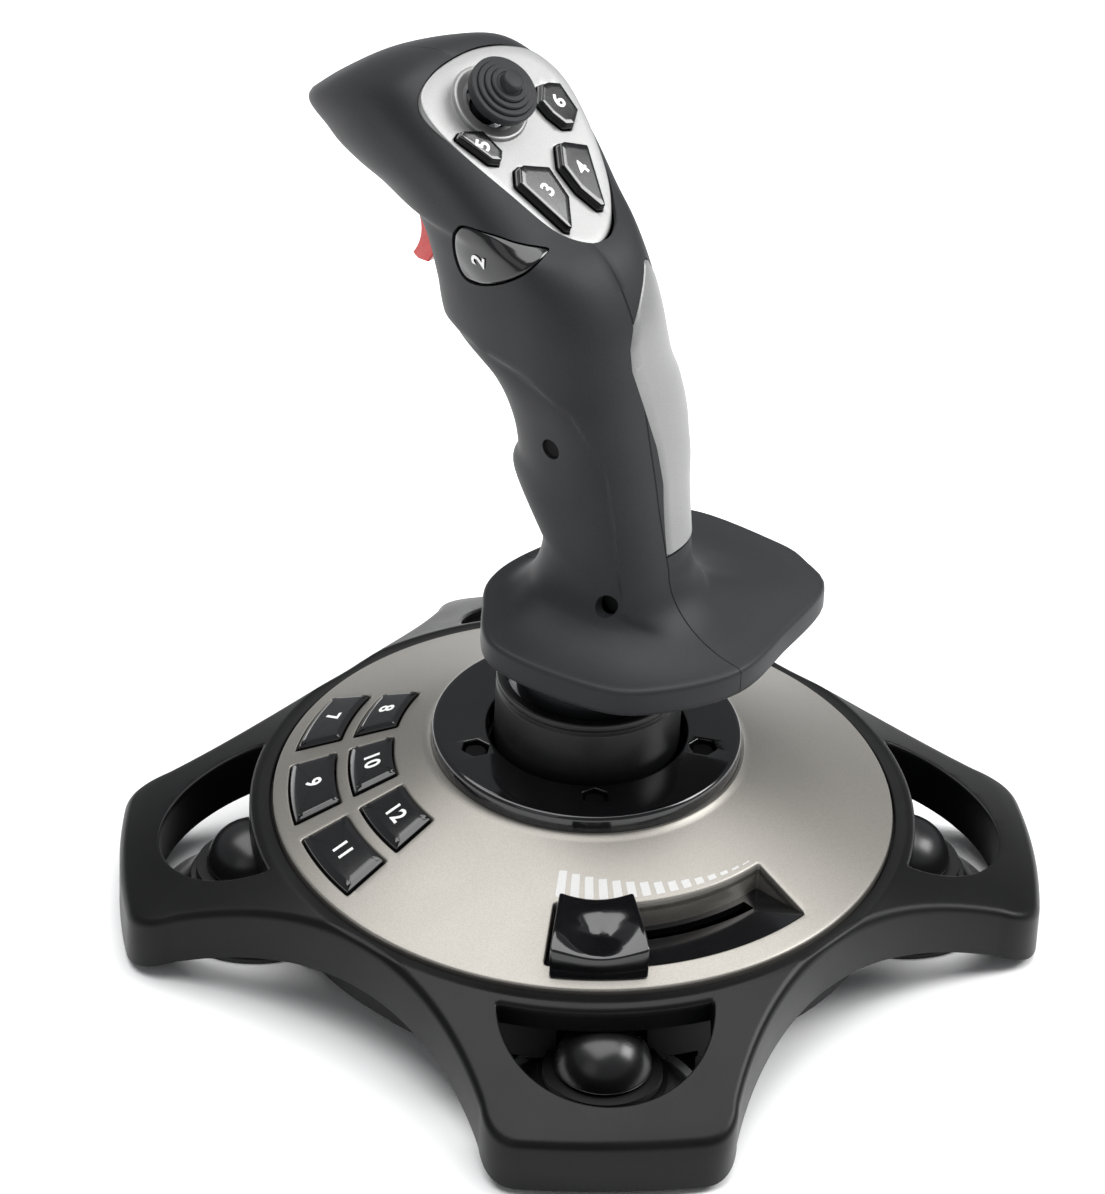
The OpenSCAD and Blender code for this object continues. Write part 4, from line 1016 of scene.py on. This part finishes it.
def side_key():
    """Button 2: a domed key that follows the left side of the head."""
    way = resample(closed_curve(SIDE_KEY_PTS, 10), 150)
    middle = (way.max(0) + way.min(0)) / 2
    half = (way.max(0) - way.min(0)) / 2
    crown, sunk, back_x, step = 0.9, 0.15, 11.2, 2

    def dome(p):
        q = np.clip((((p - middle) / half) ** 2).sum(1), 0, 1)
        return np.array([left_x(*v) for v in p]) + crown * (1 - q) - sunk

    verts, faces = block(way, dome, fillet(0.8, 4), flat(back_x), rings=12)
    key = raw("key_2", [(-v[2], v[0], v[1]) for v in verts], faces)
    dress(key, MATS["gloss_black"], "button_2", ["button_2"])
    y, z = SIDE_DIGIT
    top = float(dome(np.array([[y, z]]))[0])
    fore, aft = dome(np.array([[y + step, z], [y - step, z]]))
    up, down = dome(np.array([[y, z + step], [y, z - step]]))
    place = basis((-top - 0.25, y, z), (-(up - down) / (2 * step), 0, 1),
                  (-(fore - aft) / (2 * step), 1, 0))
    digits("digit_2", "2", 6.0, place, "button_2")


def hat():
    """The ribbed hat cap on its stem, with the two short pins that it tilts on."""
    ribs = []
    r, z = HAT_R, 7.0
    for _ in range(4):
        ribs += [(r, z), (r, z + 0.55), (r - 0.25, z + 0.8), (r - 1.25, z + 0.86), (r - 1.42, z + 0.7)]
        r -= 1.45
        z += 0.84
    knob_r, skirt = 3.0, (6.7, 2.7)
    stem = [(0, -7), (2.6, -7), (3.4, -6), (3.4, 2.8), skirt]
    bell = rounded([skirt, (7.1, 4.4), (HAT_R - 0.2, 5.0), (HAT_R, 7.0)], [0, 0.6, 0.6, 0], 4,
                   closed=False)
    tip = rounded([(r, z), (knob_r, z + 0.05), (knob_r - 0.2, z + 2.5), (0, z + 2.7)],
                  [0, 0.3, 0.9, 0], 4, closed=False)
    profile = stem + [tuple(p) for p in bell[1:]] + ribs + [tuple(p) for p in tip[1:]]
    parts = [revolve(profile, 96, wrap=False)]
    pin, faces = revolve([(0, 3), (0.8, 3), (0.8, 5.5), (0, 5.5)], 24, wrap=False)
    pivot = Vector((0, 0, -4))
    for a in (90, -90):
        turn = Matrix.Rotation(math.radians(a), 3, "X")
        parts.append(([tuple(turn @ Vector(v) + pivot) for v in pin], faces))
    cap = grown("hat_cap_ribbed", parts)
    cap.data.transform(scaled(ON_PLATE @ Matrix.Translation(Vector((*HAT_AT, 0)))))
    dress(cap, MATS["grip_soft"], "hat", ["hat_cap"], angle=28)


def trigger():
    front = [bezier(np.array([59.8, 187.2]), np.array([56.4, 181]), np.array([60.9, 174.2]), t)
             for t in np.linspace(0, 1, 16)]
    corners = [(41.6, 190.2), (53, 190.2), (57.8, 189.4)] + front
    corners += [(59, 173.1), (55.6, 173.5), (52, 180), (50, 184.1), (41.6, 184.1)]
    radii = [0.4, 1, 0.6] + [0] * (len(front) - 1) + [0.5, 0.6, 0.5, 1, 1, 0.4]
    way = rounded(corners, radii, 4)[::-1]
    half, edge = TRIGGER_W / 2, fillet(0.35, 3)
    stack = [with_z(moved_in(way, i), d - half) for i, d in reversed(edge)]
    stack += [with_z(moved_in(way, i), half - d) for i, d in edge]
    blade = raw("trigger_blade", *sideways(loft(stack)))
    dress(blade, MATS["trigger_red"], "trigger", ["trigger"])


casing()
cover()
collar()
base_keys()
scale_bars()
knob()
cups()
boot()
grip()
thumb_panel()
thumb_keys()
side_key()
hat()
trigger()


# ------------------------------------------------------------------ stage, light and camera
# Places and sizes are in metres here, and the lens is in millimetres. Lights: place, size and power
LIGHTS = {"key": ((1.1, -1.1, 1.4), 0.9, 30), "fill": ((-1.6, -0.2, 0.9), 0.9, 1.5),
          "top": ((0.1, 0.3, 2.2), 2.6, 84)}
LIGHT_AIM = (0, 0, 0.1)
SKY, SKY_POWER = (0.95, 0.97, 1.0, 1), 0.3
CAMERA_AT = (-0.9702, -0.7919, 0.9558)
CAMERA_AIM = (-0.0066, 0.0081, 0.0962)
CAMERA_LENS, CAMERA_ROLL = 181.6, 2.85


def area_light(name, at, size, power):
    data = bpy.data.lights.new(name, "AREA")
    data.shape = "RECTANGLE"
    data.size = size
    data.size_y = size
    data.energy = power
    obj = bpy.data.objects.new(name, data)
    bpy.context.scene.collection.objects.link(obj)
    obj.location = at
    obj.rotation_euler = (Vector(LIGHT_AIM) - Vector(at)).to_track_quat("-Z", "Y").to_euler()


def studio():
    """A pale floor just under the desk level, soft sky light and three soft lamps."""
    corners = 6000.0 * np.array([(-1, -1), (1, -1), (1, 1), (-1, 1)])
    floor = raw("floor", *prism(corners, -0.35, -0.05))
    floor.data.materials.append(material("pale floor", (0.94, 0.94, 0.94), 0.7, specks=(30, 0.01),
                                         relief=(50, 0.0, 0.0)))
    world = bpy.data.worlds.new("studio")
    world.use_nodes = True
    sky = world.node_tree.nodes["Background"]
    sky.inputs["Color"].default_value = SKY
    sky.inputs["Strength"].default_value = SKY_POWER
    bpy.context.scene.world = world
    for name, (at, size, power) in LIGHTS.items():
        area_light(name, at, size, power)


def camera():
    data = bpy.data.cameras.new("camera")
    data.lens = CAMERA_LENS
    data.sensor_fit = "AUTO"
    data.sensor_width = 36
    data.clip_end = 20
    obj = bpy.data.objects.new("camera", data)
    bpy.context.scene.collection.objects.link(obj)
    obj.location = CAMERA_AT
    aim = Vector(CAMERA_AIM) - obj.location
    roll = Matrix.Rotation(math.radians(CAMERA_ROLL), 3, "Z")
    obj.rotation_euler = (aim.to_track_quat("-Z", "Y").to_matrix() @ roll).to_euler()
    bpy.context.scene.camera = obj


studio()
camera()
bpy.context.scene.view_settings.view_transform = "Standard"
